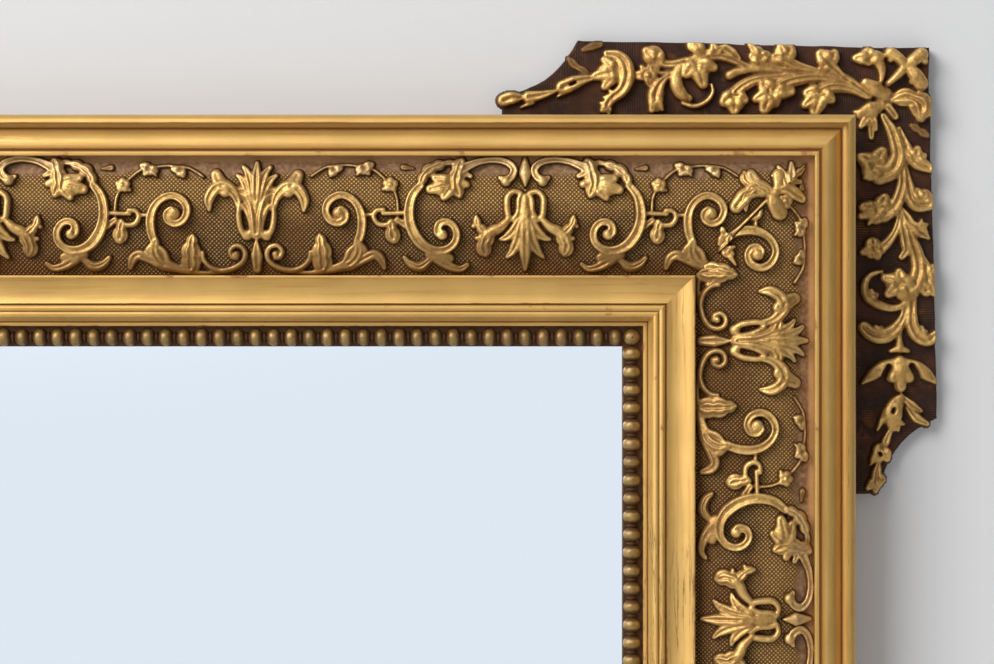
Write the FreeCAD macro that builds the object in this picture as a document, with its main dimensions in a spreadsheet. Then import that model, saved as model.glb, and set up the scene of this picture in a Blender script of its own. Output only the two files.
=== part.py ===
import FreeCAD, Part
import math
import os
from types import SimpleNamespace

import Sketcher

# A wall mirror in a gilt frame. A mitred softwood chassis carries, from the glass outwards, a beaded
# sight slip, a hollow inner moulding, a crowned frieze with cast ornament and an outer moulding.
# Four thin L-shaped ear boards with a leafy vine are nailed behind the corners, three planks close the
# back, and two swinging rings hang the whole from the wall.
# Millimetres. +X is the viewer's right, -Y faces the viewer, +Z is up.
# The origin is the middle of the back, on the wall plane.

SIZES = {
    # Glass opening inside the beads
    "sight_width": 711.2,
    "sight_height": 930.2,
    # Depths, from the wall forwards
    "plank_thick": 8.0,
    "chassis_thick": 16.5,
    "glass_thick": 4.5,
    "silver_thick": 0.5,
    "ear_thick": 8.0,
    # Widths across a rail, from the sight edge outwards
    "slip_width": 11.6,
    "inner_width": 28.3,
    "frieze_width": 67.0,
    "outer_width": 23.3,
    "overhang": 7.8,
    "glass_lap": 8.0,
    "glass_play": 2.0,
    # Sight slip and its beads
    "slip_rise": 3.2,
    "bead_pitch": 10.2,
    "bead_half_width": 4.7,
    "bead_rise": 5.0,
    "bead_bed": 1.2,
    "corner_bead_share": 0.6,
    "bead_axis": 4.9,
    "corner_bead_gap": 1.0,
    # Inner moulding: fillet, riser, two reeds, quirk, hollow and arris
    "inner_fillet_width": 2.2,
    "inner_fillet_rise": 6.0,
    "riser_width": 3.0,
    "reed_rise": 12.2,
    "reed_width": 3.2,
    "reed_fall": 0.7,
    "reed_radius": 1.9,
    "inner_quirk_width": 1.2,
    "inner_quirk_depth": 0.9,
    "hollow_radius": 12.0,
    "arris_width": 1.5,
    "arris_rise": 22.0,
    # Frieze: a ground that is lowest at both edges
    "frieze_edge_rise": 13.0,
    "frieze_crown": 6.5,
    # Outer moulding: fillet, quirk, ovolo, hollow and torus
    "outer_fillet_width": 2.4,
    "outer_fillet_rise": 22.0,
    "outer_quirk_width": 1.6,
    "outer_quirk_depth": 2.2,
    "ovolo_width": 10.2,
    "ovolo_radius": 9.5,
    "outer_hollow_rise": 15.6,
    "outer_hollow_width": 4.1,
    "outer_hollow_radius": 4.6,
    "torus_rise": 22.5,
    "torus_fall": 2.5,
    "torus_radius": 2.95,
    # Ear boards
    "ear_projection": 50.0,
    "ear_rise": 46.0,
    "ear_lap": 30.0,
    "ear_arm_across": 249.0,
    "ear_arm_down": 262.0,
    "ear_nib_height": 17.0,
    "ear_nib_length": 8.0,
    "ear_end_run": 46.0,
    "ear_end_radius": 50.0,
    "vine_margin": 4.0,
    "ear_relief": 8.0,
    "ear_stem_relief": 5.0,
    # Frieze ornament
    "half_repeat_across": 150.0,
    "half_repeat_down": 156.3,
    "glue_bed": 0.1,
    "scroll_relief": 4.5,
    "palmette_relief": 6.0,
    # Back, hanging gear and fastenings
    "plank_lap": 12.0,
    "plank_gap": 1.0,
    "nail_inset": 6.0,
    "nail_width": 2.4,
    "nail_length": 20.0,
    "block_leg": 9.0,
    "block_length": 30.0,
    "key_length": 50.0,
    "key_end_width": 20.0,
    "key_waist": 10.0,
    "key_thick": 5.0,
    "hanger_height": 250.0,
    "plate_width": 18.0,
    "plate_height": 38.0,
    "plate_thick": 1.6,
    "knuckle_radius": 3.7,
    "ring_axis_rise": 4.2,
    "ring_wire_radius": 2.0,
    "ring_play": 0.08,
    "ring_bar_half": 11.0,
    "ring_corner_radius": 5.0,
    "ring_leg": 11.0,
    "screw_radius": 1.9,
    "screw_head_radius": 3.6,
    "screw_length": 14.0,
    "screw_play": 0.12,
    "screw_low": 13.0,
    "screw_high": 29.0,
}

X_AXIS = FreeCAD.Vector(1, 0, 0)
Y_AXIS = FreeCAD.Vector(0, 1, 0)
Z_AXIS = FreeCAD.Vector(0, 0, 1)


class Size:
    """A length with the sheet expression that gives it, so that the two stay together."""

    def __init__(self, value, text):
        self.value = value
        self.text = text

    def __add__(self, other):
        other = as_size(other)
        return Size(self.value + other.value, f"({self.text} + {other.text})")

    def __sub__(self, other):
        other = as_size(other)
        return Size(self.value - other.value, f"({self.text} - {other.text})")

    def __mul__(self, other):
        other = as_size(other)
        return Size(self.value * other.value, f"({self.text} * {other.text})")

    def __truediv__(self, other):
        other = as_size(other)
        return Size(self.value / other.value, f"({self.text} / {other.text})")

    def __neg__(self):
        return as_size(0) - self


def as_size(number):
    return number if isinstance(number, Size) else Size(float(number), repr(float(number)))


doc = FreeCAD.newDocument("GiltMirror")
sheet = doc.addObject("Spreadsheet::Sheet", "Dims")
for row, (alias, number) in enumerate(SIZES.items(), start=1):
    sheet.set(f"A{row}", alias)
    sheet.set(f"B{row}", str(number))
    sheet.setAlias(f"B{row}", alias)
doc.recompute()
dim = SimpleNamespace(**{alias: Size(number, f"Dims.{alias}") for alias, number in SIZES.items()})
ZERO = as_size(0)

# Places worked out from the driving sizes. A depth counts from the wall, a reach from the sight edge.
FRONT = dim.plank_thick + dim.chassis_thick
CHASSIS_IN = dim.glass_lap + dim.glass_play
INNER_IN = dim.slip_width
FRIEZE_IN = INNER_IN + dim.inner_width
OUTER_IN = FRIEZE_IN + dim.frieze_width
OUTER_OUT = OUTER_IN + dim.outer_width
CHASSIS_OUT = OUTER_OUT - dim.overhang
FRIEZE_MID = FRIEZE_IN + dim.frieze_width / 2
EAR_FRONT = dim.plank_thick
HALF_WIDTH = dim.sight_width / 2
HALF_HEIGHT = dim.sight_height / 2
GLASS_BACK = FRONT - dim.glass_thick
SILVER_BACK = GLASS_BACK - dim.silver_thick
FRIEZE_RADIUS = (dim.frieze_width * dim.frieze_width / 4 + dim.frieze_crown * dim.frieze_crown) / (
    dim.frieze_crown * 2)
ORNAMENT_TOP = FRONT + dim.frieze_edge_rise + dim.frieze_crown + dim.palmette_relief * 2
HANGER_REACH = (CHASSIS_IN + CHASSIS_OUT) / 2
RING_DEPTH = dim.plank_thick - dim.ring_axis_rise

# Each side of the frame: its turn about Y from the top rail, its own run and its distance from the centre.
SIDES = {
    "top": (0, dim.sight_width, HALF_HEIGHT),
    "right": (90, dim.sight_height, HALF_WIDTH),
    "bottom": (180, dim.sight_width, HALF_HEIGHT),
    "left": (270, dim.sight_height, HALF_WIDTH),
}
HALF_REPEATS = {
    "top": dim.half_repeat_across,
    "right": dim.half_repeat_down,
    "bottom": dim.half_repeat_across,
    "left": dim.half_repeat_down,
}
# Each corner: the way it faces along X and along Z.
CORNERS = {"top_right": (1, 1), "bottom_right": (1, -1), "bottom_left": (-1, -1), "top_left": (-1, 1)}

sub_parts = []


def bind(thing, prop, size):
    thing.setExpression(prop, as_size(size).text)


def keep(thing, label):
    thing.Label = label
    sub_parts.append(thing)
    return thing


def own_plane(body, role):
    return next(feature for feature in body.Origin.OriginFeatures if feature.Role == role)


def arc_through(start, end, radius, side):
    """An arc from start to end that bulges to the left of the way travelled, or to the right if side is -1."""
    chord = end - start
    sagitta = radius - math.sqrt(max(radius * radius - chord.Length * chord.Length / 4, 0))
    left = FreeCAD.Vector(-chord.y, chord.x, 0).normalize()
    return Part.Arc(start, start + chord / 2 + left * (sagitta * side), end)


def draw(sketch, corners):
    """Close an outline through corners (x, y) or, where an arc leaves the corner, (x, y, radius, side)."""
    points = [FreeCAD.Vector(corner[0].value, corner[1].value, 0) for corner in corners]
    ends = []
    for number, corner in enumerate(corners):
        start = points[number]
        end = points[(number + 1) % len(points)]
        if len(corner) == 2:
            edge = sketch.addGeometry(Part.LineSegment(start, end))
        else:
            edge = sketch.addGeometry(arc_through(start, end, corner[2].value, corner[3]))
        first = 1 if (sketch.getPoint(edge, 1) - start).Length < 1e-6 else 2
        ends.append((edge, first, 3 - first))
    for number, corner in enumerate(corners):
        edge, first, last = ends[number]
        following = ends[(number + 1) % len(ends)]
        sketch.addConstraint(Sketcher.Constraint("Coincident", edge, last, following[0], following[1]))
        for kind, size in (("DistanceX", corner[0]), ("DistanceY", corner[1])):
            place = sketch.addConstraint(Sketcher.Constraint(kind, -1, 1, edge, first, size.value))
            bind(sketch, f"Constraints[{place}]", size)
        if len(corner) > 2:
            place = sketch.addConstraint(Sketcher.Constraint("Radius", edge, corner[2].value))
            bind(sketch, f"Constraints[{place}]", corner[2])


def sketch_on(body, name, role, outlines):
    sketch = body.newObject("Sketcher::SketchObject", name)
    sketch.AttachmentSupport = [(own_plane(body, role), "")]
    sketch.MapMode = "FlatFace"
    for corners in outlines:
        draw(sketch, corners)
    return sketch


def pad(body, sketch, length):
    feature = body.newObject("PartDesign::Pad", sketch.Name + "_pad")
    feature.Profile = sketch
    bind(feature, "Length", length)
    sketch.Visibility = False
    return feature


def place_on_side(thing, side, reach):
    """Put a thing drawn along X, with its front to +Y and its outside to +Z, on one side of the frame."""
    turn, run, across = SIDES[side]
    half = run / 2 + reach
    base = {0: (half, across), 90: (across, -half), 180: (-half, -across), 270: (-across, half)}[turn]
    rotation = FreeCAD.Rotation(Y_AXIS, turn) * FreeCAD.Rotation(Z_AXIS, 180)
    thing.Placement = FreeCAD.Placement(FreeCAD.Vector(base[0].value, 0, base[1].value), rotation)
    bind(thing, "Placement.Base.x", base[0])
    bind(thing, "Placement.Base.z", base[1])


def mitred_rail(name, side, section, inside, outside):
    """A moulding of one section (depth, reach), as long as its outside edge, cut at 45 degrees at both ends."""
    run = SIDES[side][1]
    length = run + outside * 2
    body = doc.addObject("PartDesign::Body", name)
    pad(body, sketch_on(body, name + "_section", "YZ_Plane", [section]), length)
    width = outside - inside
    ends = [
        [(ZERO, inside), (width, inside), (ZERO, outside)],
        [(length, inside), (length, outside), (length - width, inside)],
    ]
    mitre = body.newObject("PartDesign::Pocket", name + "_mitre")
    mitre.Profile = sketch_on(body, name + "_ends", "XZ_Plane", ends)
    mitre.Type = "ThroughAll"
    mitre.SideType = "Symmetric"
    place_on_side(body, side, outside)
    return body


# Sections, as corners of depth and reach
def chassis_section():
    return [
        (dim.plank_thick, CHASSIS_IN),
        (FRONT, CHASSIS_IN),
        (FRONT, CHASSIS_OUT),
        (dim.plank_thick, CHASSIS_OUT),
    ]


def slip_section():
    return [(FRONT, ZERO), (FRONT + dim.slip_rise, ZERO), (FRONT + dim.slip_rise, INNER_IN), (FRONT, INNER_IN)]


def inner_section():
    fillet_end = INNER_IN + dim.inner_fillet_width
    reeds = fillet_end + dim.riser_width
    second_reed = reeds + dim.reed_width
    quirk = second_reed + dim.reed_width
    hollow = quirk + dim.inner_quirk_width
    arris = FRIEZE_IN - dim.arris_width
    reed_top = FRONT + dim.reed_rise
    reed_end = reed_top - dim.reed_fall * 2
    return [
        (FRONT, INNER_IN),
        (FRONT + dim.inner_fillet_rise, INNER_IN),
        (FRONT + dim.inner_fillet_rise, fillet_end),
        (reed_top, reeds, dim.reed_radius, -1),
        (reed_top - dim.reed_fall, second_reed, dim.reed_radius, -1),
        (reed_end, quirk),
        (reed_end - dim.inner_quirk_depth, quirk),
        (reed_end - dim.inner_quirk_depth, hollow),
        (reed_end, hollow, dim.hollow_radius, 1),
        (FRONT + dim.arris_rise, arris),
        (FRONT + dim.arris_rise, FRIEZE_IN),
        (FRONT, FRIEZE_IN),
    ]


def frieze_section():
    edge = FRONT + dim.frieze_edge_rise
    return [(FRONT, FRIEZE_IN), (edge, FRIEZE_IN, FRIEZE_RADIUS, -1), (edge, OUTER_IN), (FRONT, OUTER_IN)]


def outer_section():
    fillet = FRONT + dim.outer_fillet_rise
    fillet_end = OUTER_IN + dim.outer_fillet_width
    ovolo = fillet_end + dim.outer_quirk_width
    hollow = ovolo + dim.ovolo_width
    torus = hollow + dim.outer_hollow_width
    torus_top = FRONT + dim.torus_rise
    return [
        (FRONT, OUTER_IN),
        (fillet, OUTER_IN),
        (fillet, fillet_end),
        (fillet - dim.outer_quirk_depth, fillet_end),
        (fillet - dim.outer_quirk_depth, ovolo),
        (fillet, ovolo, dim.ovolo_radius, -1),
        (FRONT + dim.outer_hollow_rise, hollow, dim.outer_hollow_radius, 1),
        (torus_top, torus, dim.torus_radius, -1),
        (torus_top - dim.torus_fall, OUTER_OUT),
        (FRONT, OUTER_OUT),
    ]


# Ear boards: an L behind a corner of the chassis, with a concave run down to a blunt nib at each end
def ear_board(corner, nails):
    facing_x, facing_z = CORNERS[corner]
    arm_across = dim.ear_arm_across
    arm_down = dim.ear_arm_down
    hidden = dim.overhang + dim.ear_lap
    inner_x = arm_across - dim.ear_projection - hidden
    inner_z = arm_down - dim.ear_rise - hidden
    nib = dim.ear_nib_height + hidden
    corners = [
        (ZERO, inner_z),
        (inner_x, inner_z),
        (inner_x, ZERO),
        (inner_x + nib, ZERO),
        (inner_x + nib, dim.ear_nib_length, dim.ear_end_radius, 1),
        (arm_across, dim.ear_end_run),
        (arm_across, arm_down),
        (dim.ear_end_run, arm_down, dim.ear_end_radius, 1),
        (dim.ear_nib_length, inner_z + nib),
        (ZERO, inner_z + nib),
    ]
    turned = facing_x * facing_z
    outline = []
    for point in corners:
        x = point[0] if facing_x > 0 else arm_across - point[0]
        z = point[1] if facing_z > 0 else arm_down - point[1]
        outline.append((x, z) if len(point) == 2 else (x, z, point[2], point[3] * turned))
    body = doc.addObject("PartDesign::Body", f"ear_{corner}_blank")
    pad(body, sketch_on(body, f"ear_{corner}_outline", "XZ_Plane", [outline]), dim.ear_thick)
    edge_x = HALF_WIDTH + OUTER_OUT + dim.ear_projection
    edge_z = HALF_HEIGHT + OUTER_OUT + dim.ear_rise
    bind(body, "Placement.Base.x", edge_x - arm_across if facing_x > 0 else -edge_x)
    bind(body, "Placement.Base.y", dim.ear_thick - EAR_FRONT)
    bind(body, "Placement.Base.z", edge_z - arm_down if facing_z > 0 else -edge_z)
    return cut_out("ear_" + corner, body, nails)


def group(label, shapes):
    """One node that holds several separate solids, or one solid that only a formula gives."""
    feature = doc.addObject("Part::Feature", label)
    feature.Shape = shapes[0] if len(shapes) == 1 else Part.makeCompound(shapes)
    return keep(feature, label)


def prism(outline, low, high):
    """A solid between two depths over an outline of (x, z) points."""
    points = [FreeCAD.Vector(x, -low, z) for x, z in outline]
    face = Part.Face(Part.makePolygon(points + points[:1]))
    return face.extrude(FreeCAD.Vector(0, low - high, 0))


def ribbon(centre_line, half_widths):
    """The outline of a band along a centre line, as wide each side as half_widths says."""
    left = []
    right = []
    for number, (x, z) in enumerate(centre_line):
        before = centre_line[max(number - 1, 0)]
        after = centre_line[min(number + 1, len(centre_line) - 1)]
        way = math.hypot(after[0] - before[0], after[1] - before[1])
        across_x = -(after[1] - before[1]) / way * half_widths[number]
        across_z = (after[0] - before[0]) / way * half_widths[number]
        left.append((x + across_x, z + across_z))
        right.append((x - across_x, z - across_z))
    return left + right[::-1]


def scroll(eye, start, coil, tail, radius, coil_growth, tail_growth, half_width):
    """A comma scroll: a coil that opens slowly clockwise from its eye, then a tail that opens fast and tapers."""
    steps = 6
    centre_line = []
    half_widths = []
    for step in range(steps + 1):
        turned = (coil + tail) * step / steps
        growth = coil_growth * min(turned, coil) + tail_growth * max(turned - coil, 0)
        reach = radius * math.exp(math.radians(growth))
        angle = math.radians(start - turned)
        centre_line.append((eye[0] + reach * math.cos(angle), eye[1] + reach * math.sin(angle)))
        swell = math.sin(math.pi * (0.15 + 0.75 * step / steps))
        half_widths.append(half_width * swell)
    return ribbon(centre_line, half_widths)


def fan(lobes, top, side, spread, foot):
    """A palmette that points along +Z: blunt lobes in a fan about the origin, over a pointed foot."""
    outline = [(0, -foot)]
    step = 2 * spread / (lobes - 1)
    for lobe in range(lobes):
        middle = -spread + lobe * step
        reach = side + (top - side) * math.cos(math.radians(middle * 90 / spread)) ** 2
        for turn, share in ((-0.25, 1.0), (0.25, 1.0), (0.5, 0.74)):
            if lobe == lobes - 1 and turn == 0.5:
                continue
            angle = math.radians(middle + turn * step)
            outline.append((reach * share * math.sin(angle), reach * share * math.cos(angle)))
    return outline


def moved(outline, along, out, facing=1):
    return [(along + x, out + z * facing) for x, z in outline]


def turned(outline, degrees):
    angle = math.radians(degrees)
    cosine = math.cos(angle)
    sine = math.sin(angle)
    return [(x * cosine - z * sine, x * sine + z * cosine) for x, z in outline]


FRIEZE_STEPS = 4


def frieze_layer(side, relief):
    """What lies between the crowned ground, a glue bed above it, and the ornament's top, along one side."""
    run = SIDES[side][1].value
    half = run / 2 + OUTER_OUT.value
    half_frieze = dim.frieze_width.value / 2
    reach = FRIEZE_MID.value
    across = SIDES[side][2].value
    centre_depth = FRONT.value + dim.frieze_edge_rise.value + dim.frieze_crown.value - FRIEZE_RADIUS.value

    def bow(radius):
        """Corners of flat steps that touch an arc from outside."""
        reach_angle = math.asin(half_frieze / radius)
        step = 2 * reach_angle / FRIEZE_STEPS
        corner_radius = radius / math.cos(step / 2)
        corners = []
        for number in range(FRIEZE_STEPS + 1):
            angle = number * step - reach_angle
            depth = centre_depth + corner_radius * math.cos(angle)
            corners.append(FreeCAD.Vector(-half, -depth, across + reach + corner_radius * math.sin(angle)))
        return corners

    ground = bow(FRIEZE_RADIUS.value + dim.glue_bed.value)
    crest = bow(FRIEZE_RADIUS.value + dim.glue_bed.value + relief)
    face = Part.Face(Part.makePolygon(ground + crest[::-1] + ground[:1]))
    return face.extrude(FreeCAD.Vector(2 * half, 0, 0))


def seated(side, outlines, relief):
    """Ornament over the outlines of a side, drawn as if that side were the top, with its back to the ground."""
    layer = frieze_layer(side, relief)
    solids = []
    for outline in outlines:
        cut = layer.common(prism(outline, FRONT.value, ORNAMENT_TOP.value))
        solids.extend(cut.Solids)
    for solid in solids:
        solid.rotate(FreeCAD.Vector(), Y_AXIS, SIDES[side][0])
    return solids


def inside_mitre(side, outline, margin):
    """Whether an outline on a side, taken as the top, keeps clear of both mitres by a margin."""
    offset = SIDES[side][1].value / 2 - SIDES[side][2].value
    return all(abs(x) + margin < z + offset for x, z in outline)


def motif_places(side):
    """Palmette axes along a side: an inward one in the middle, then by turns outward and inward."""
    reach = SIDES[side][1].value / 2 + FRIEZE_MID.value
    half_repeat = HALF_REPEATS[side].value
    most = int(reach / half_repeat) + 1
    return [(number, number * half_repeat) for number in range(-most, most + 1)]


MITRE_MARGIN = 4.0
PALMETTE = {"lobes": 5, "top": 28.0, "side": 16.0, "spread": 96.0, "foot": 14.0}
PALMETTE_OFFSET = 2.0
CORNER_FAN = {"lobes": 5, "top": 26.0, "side": 16.0, "spread": 100.0, "foot": 20.0}
# Each half repeat holds two scrolls; their eyes count from the outward palmette, along and outwards.
SMALL_SCROLL = {"start": -38, "coil": 352, "tail": 66, "radius": 6.3, "coil_growth": 0.138,
                "tail_growth": 0.655, "half_width": 2.4}
LARGE_SCROLL = {"start": 106, "coil": 250, "tail": 100, "radius": 6.3, "coil_growth": 0.155,
                "tail_growth": 0.48, "half_width": 2.8}
SMALL_EYE = (45.4, 1.7)
LARGE_EYE = (102.5, -10.6)


def frieze_palmettes(side):
    centre = SIDES[side][2].value + FRIEZE_MID.value
    outlines = []
    for number, along in motif_places(side):
        facing = -1 if number % 2 == 0 else 1
        outline = moved(fan(**PALMETTE), along, centre - PALMETTE_OFFSET * facing, facing)
        if inside_mitre(side, outline, MITRE_MARGIN):
            outlines.append(outline)
    return group("frieze_palmettes_" + side, seated(side, outlines, dim.palmette_relief.value))


def frieze_scrolls(side):
    centre = SIDES[side][2].value + FRIEZE_MID.value
    outlines = []
    for number, along in motif_places(side):
        if number % 2 == 0:
            continue
        for way in (-1, 1):
            for eye, shape in ((SMALL_EYE, SMALL_SCROLL), (LARGE_EYE, LARGE_SCROLL)):
                outline = [(along + way * x, centre + z) for x, z in scroll(eye, **shape)]
                if inside_mitre(side, outline, MITRE_MARGIN):
                    outlines.append(outline)
    return group("frieze_scrolls_" + side, seated(side, outlines, dim.scroll_relief.value))


def at_every_corner(shape):
    """A shape made for the top right corner, and its three mirror images."""
    centre = FreeCAD.Vector(0, 0, 0)
    right = [shape, shape.mirror(centre, Z_AXIS)]
    return right + [solid.mirror(centre, X_AXIS) for solid in right]


def corner_leaves():
    """A leaf on each frieze mitre, pointing outwards and lying over both rails."""
    middle_x = HALF_WIDTH.value + FRIEZE_MID.value
    middle_z = HALF_HEIGHT.value + FRIEZE_MID.value
    outline = moved(turned(fan(**CORNER_FAN), -45), middle_x, middle_z)
    far = middle_x + middle_z
    above = [(middle_x - far, middle_z - far), (middle_x + far, middle_z + far), (middle_x - far, middle_z + far)]
    beside = [(middle_x - far, middle_z - far), (middle_x + far, middle_z - far), (middle_x + far, middle_z + far)]
    leaf = prism(outline, FRONT.value, ORNAMENT_TOP.value)
    halves = []
    for side, region in (("top", above), ("right", beside)):
        layer = frieze_layer(side, dim.palmette_relief.value)
        layer.rotate(FreeCAD.Vector(), Y_AXIS, SIDES[side][0])
        half = prism(region, FRONT.value, ORNAMENT_TOP.value)
        halves.append(layer.common(leaf).common(half))
    whole = halves[0].fuse(halves[1]).removeSplitter()
    return group("corner_leaves", at_every_corner(whole.Solids[0]))


# Vine on an ear: a stem along each arm, (distance from the outer edge, distance from the vine's own
# margin beside the moulding), and leaves given by place, size and the way they point, in degrees from
# the arm's end.
STEM_ACROSS = [(28, 14), (64, 23), (107, 28), (125, 33), (153, 23), (191, 22), (226, 14), (246, 9)]
STEM_DOWN = [(28, 16), (82, 26), (120, 33), (149, 28), (190, 25), (232, 16), (252, 9)]
LEAVES_ACROSS = [(68, 12, 15, -60), (93, 12, 15, -60), (115, 12, 14, -60), (70, 35, 12, 55), (133, 18, 16, -70),
                 (183, 23, 19, 0), (209, 19, 13, 0), (233, 11, 10, -10)]
LEAVES_DOWN = [(68, 12, 17, -70), (95, 12, 16, -70), (64, 33, 13, 70), (89, 34, 13, 70), (137, 26, 16, -60),
               (165, 13, 15, -70), (191, 25, 20, 0), (213, 21, 15, 0), (236, 15, 13, 0)]
STEM_HALF_WIDTH = 2.4
LEAF_EDGE = 1.2


def leaf_outline(size):
    """A three-lobed leaf that points along +X, with its foot at the origin's left."""
    outline = []
    for angle, share in ((0, 1.0), (38, 0.58), (78, 0.95), (180, 0.75)):
        radians = math.radians(angle)
        outline.append((size * 0.75 * share * math.cos(radians), size * 0.62 * share * math.sin(radians)))
    mirrored = [(x, -z) for x, z in outline[-2:0:-1]]
    return outline + mirrored


def ear_vine(corner):
    """Stem and leaves of one ear, joined into one carving that lies on the board."""
    facing_x, facing_z = CORNERS[corner]
    moulding_x = HALF_WIDTH.value + OUTER_OUT.value
    moulding_z = HALF_HEIGHT.value + OUTER_OUT.value
    edge_x = moulding_x + dim.ear_projection.value
    edge_z = moulding_z + dim.ear_rise.value
    face = EAR_FRONT.value
    margin = dim.vine_margin.value

    def across(point):
        highest = dim.ear_rise.value - LEAF_EDGE
        return edge_x - point[0], moulding_z + min(max(margin + point[1], LEAF_EDGE), highest)

    def down(point):
        widest = dim.ear_projection.value - LEAF_EDGE
        return moulding_x + min(max(margin + point[1], LEAF_EDGE), widest), edge_z - point[0]

    pieces = []
    for stem, leaves, put in ((STEM_ACROSS, LEAVES_ACROSS, across), (STEM_DOWN, LEAVES_DOWN, down)):
        widths = [STEM_HALF_WIDTH - number / len(stem) for number in range(len(stem))]
        line = [put(point) for point in stem]
        pieces.append(prism(ribbon(line, widths), face, face + dim.ear_stem_relief.value))
        for along, out, size, way in leaves:
            points = [put((along + x, out + z)) for x, z in turned(leaf_outline(size), way)]
            pieces.append(prism(points, face, face + dim.ear_relief.value))
    rosette = []
    for petal in range(10):
        reach = 17.0 if petal % 2 == 0 else 8.0
        angle = math.radians(45 + 36 * petal)
        rosette.append((moulding_x + margin + 16 + reach * math.cos(angle),
                        moulding_z + margin + 14 + reach * math.sin(angle)))
    pieces.append(prism(rosette, face, face + dim.ear_relief.value))
    corner_block = Part.makeBox(edge_x, FRONT.value, edge_z)
    corner_block.translate(FreeCAD.Vector(moulding_x - edge_x, -face - FRONT.value, moulding_z - edge_z))
    whole = pieces[0].multiFuse(pieces[1:]).cut(corner_block).removeSplitter()
    centre = FreeCAD.Vector(0, 0, 0)
    solids = whole.Solids
    if facing_x < 0:
        solids = [solid.mirror(centre, X_AXIS) for solid in solids]
    if facing_z < 0:
        solids = [solid.mirror(centre, Z_AXIS) for solid in solids]
    return group("ear_vine_" + corner, solids)


def solid_of(faces):
    """A solid closed by flat faces, each given by its corners."""
    solid = Part.Solid(Part.Shell([Part.Face(Part.makePolygon(corners + corners[:1])) for corners in faces]))
    return solid if solid.Volume > 0 else solid.reversed()


def ring_of(sides, radius, centre):
    """Corners of a regular outline that faces along Y."""
    corners = []
    for corner in range(sides):
        angle = 2 * math.pi * (corner + 0.5) / sides
        corners.append(centre + FreeCAD.Vector(radius * math.cos(angle), 0, radius * math.sin(angle)))
    return corners


def walls(rings):
    """Flat faces between each ring of corners and the next."""
    faces = []
    for low, high in zip(rings, rings[1:]):
        for corner in range(len(low)):
            after = (corner + 1) % len(low)
            faces.append([low[corner], low[after], high[after], high[corner]])
    return faces


# Small turned parts are drawn with flats
BEAD_SIDES = 8
SCREW_SIDES = 8
WIRE_SIDES = 8
KNUCKLE_SIDES = 12


# Beads along the sight slips
def bead_string(side):
    """Four-sided beads on a thin bed, so that each needs only six facets."""
    run = SIDES[side][1].value + 2 * dim.corner_bead_gap.value
    count = round(run / dim.bead_pitch.value)
    low = FRONT.value + dim.slip_rise.value
    bed = low + dim.bead_bed.value
    crest = low + dim.bead_rise.value
    axis = dim.bead_axis.value
    edges = (axis - dim.bead_half_width.value, axis + dim.bead_half_width.value)
    stations = [run * number / count for number in range(count + 1)]
    faces = []
    for start, end in zip(stations, stations[1:]):
        top = FreeCAD.Vector((start + end) / 2, crest, axis)
        base = [FreeCAD.Vector(along, bed, edge) for along, edge in (
            (start, edges[0]), (end, edges[0]), (end, edges[1]), (start, edges[1]))]
        faces.extend([base[corner], base[(corner + 1) % 4], top] for corner in range(4))
    for edge in edges:
        rim = [FreeCAD.Vector(along, bed, edge) for along in stations]
        faces.append(rim + [FreeCAD.Vector(run, low, edge), FreeCAD.Vector(0, low, edge)])
    for along in (0, run):
        faces.append([FreeCAD.Vector(along, depth, edge) for depth, edge in (
            (low, edges[0]), (low, edges[1]), (bed, edges[1]), (bed, edges[0]))])
    faces.append([FreeCAD.Vector(along, low, edge) for along, edge in (
        (0, edges[0]), (run, edges[0]), (run, edges[1]), (0, edges[1]))])
    string = group("bead_string_" + side, [solid_of(faces)])
    place_on_side(string, side, dim.corner_bead_gap)
    return string


def corner_beads():
    """An eight-sided bead where two strings meet."""
    low = FRONT.value + dim.slip_rise.value
    widest = dim.bead_half_width.value
    narrow = widest * dim.corner_bead_share.value
    rings = []
    for radius, rise in ((narrow, 0), (widest, dim.bead_rise.value / 2), (narrow, dim.bead_rise.value)):
        centre = FreeCAD.Vector(HALF_WIDTH.value + dim.bead_axis.value, -low - rise,
                                HALF_HEIGHT.value + dim.bead_axis.value)
        rings.append(ring_of(BEAD_SIDES, radius, centre))
    return group("corner_beads", at_every_corner(solid_of(walls(rings) + [rings[0], rings[-1]])))


# Glass, silvering and what holds them
def plate(label, half_x, half_z, depth, thick):
    """A box centred on the mirror's axis, its back at a depth from the wall."""
    box = doc.addObject("Part::Box", label)
    bind(box, "Length", half_x * 2)
    bind(box, "Width", thick)
    bind(box, "Height", half_z * 2)
    bind(box, "Placement.Base.x", -half_x)
    bind(box, "Placement.Base.y", -depth - thick)
    bind(box, "Placement.Base.z", -half_z)
    return box


def glass_blocks():
    """Three-cornered blocks glued to the chassis behind the glass, spread along each side."""
    leg = dim.block_leg.value
    length = dim.block_length.value
    blocks = []
    for turn, run, across in SIDES.values():
        count = 4 if turn in (0, 180) else 5
        wall = across.value + CHASSIS_IN.value
        back = -SILVER_BACK.value
        for number in range(count):
            along = run.value * ((number + 0.5) / count - 0.5) - length / 2
            points = [FreeCAD.Vector(along, back, wall), FreeCAD.Vector(along, back + leg, wall),
                      FreeCAD.Vector(along, back, wall - leg)]
            block = Part.Face(Part.makePolygon(points + points[:1])).extrude(X_AXIS * length)
            block.rotate(FreeCAD.Vector(0, 0, 0), Y_AXIS, turn)
            blocks.append(block)
    return group("glass_blocks", blocks)


PLANKS = ("lower", "middle", "upper")
PLANK_HALF_LENGTH = HALF_WIDTH + CHASSIS_IN + dim.plank_lap
PLANKS_HALF_HEIGHT = HALF_HEIGHT + CHASSIS_IN + dim.plank_lap
PLANK_HEIGHT = (PLANKS_HALF_HEIGHT * 2 - dim.plank_gap * (len(PLANKS) - 1)) / len(PLANKS)


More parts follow.
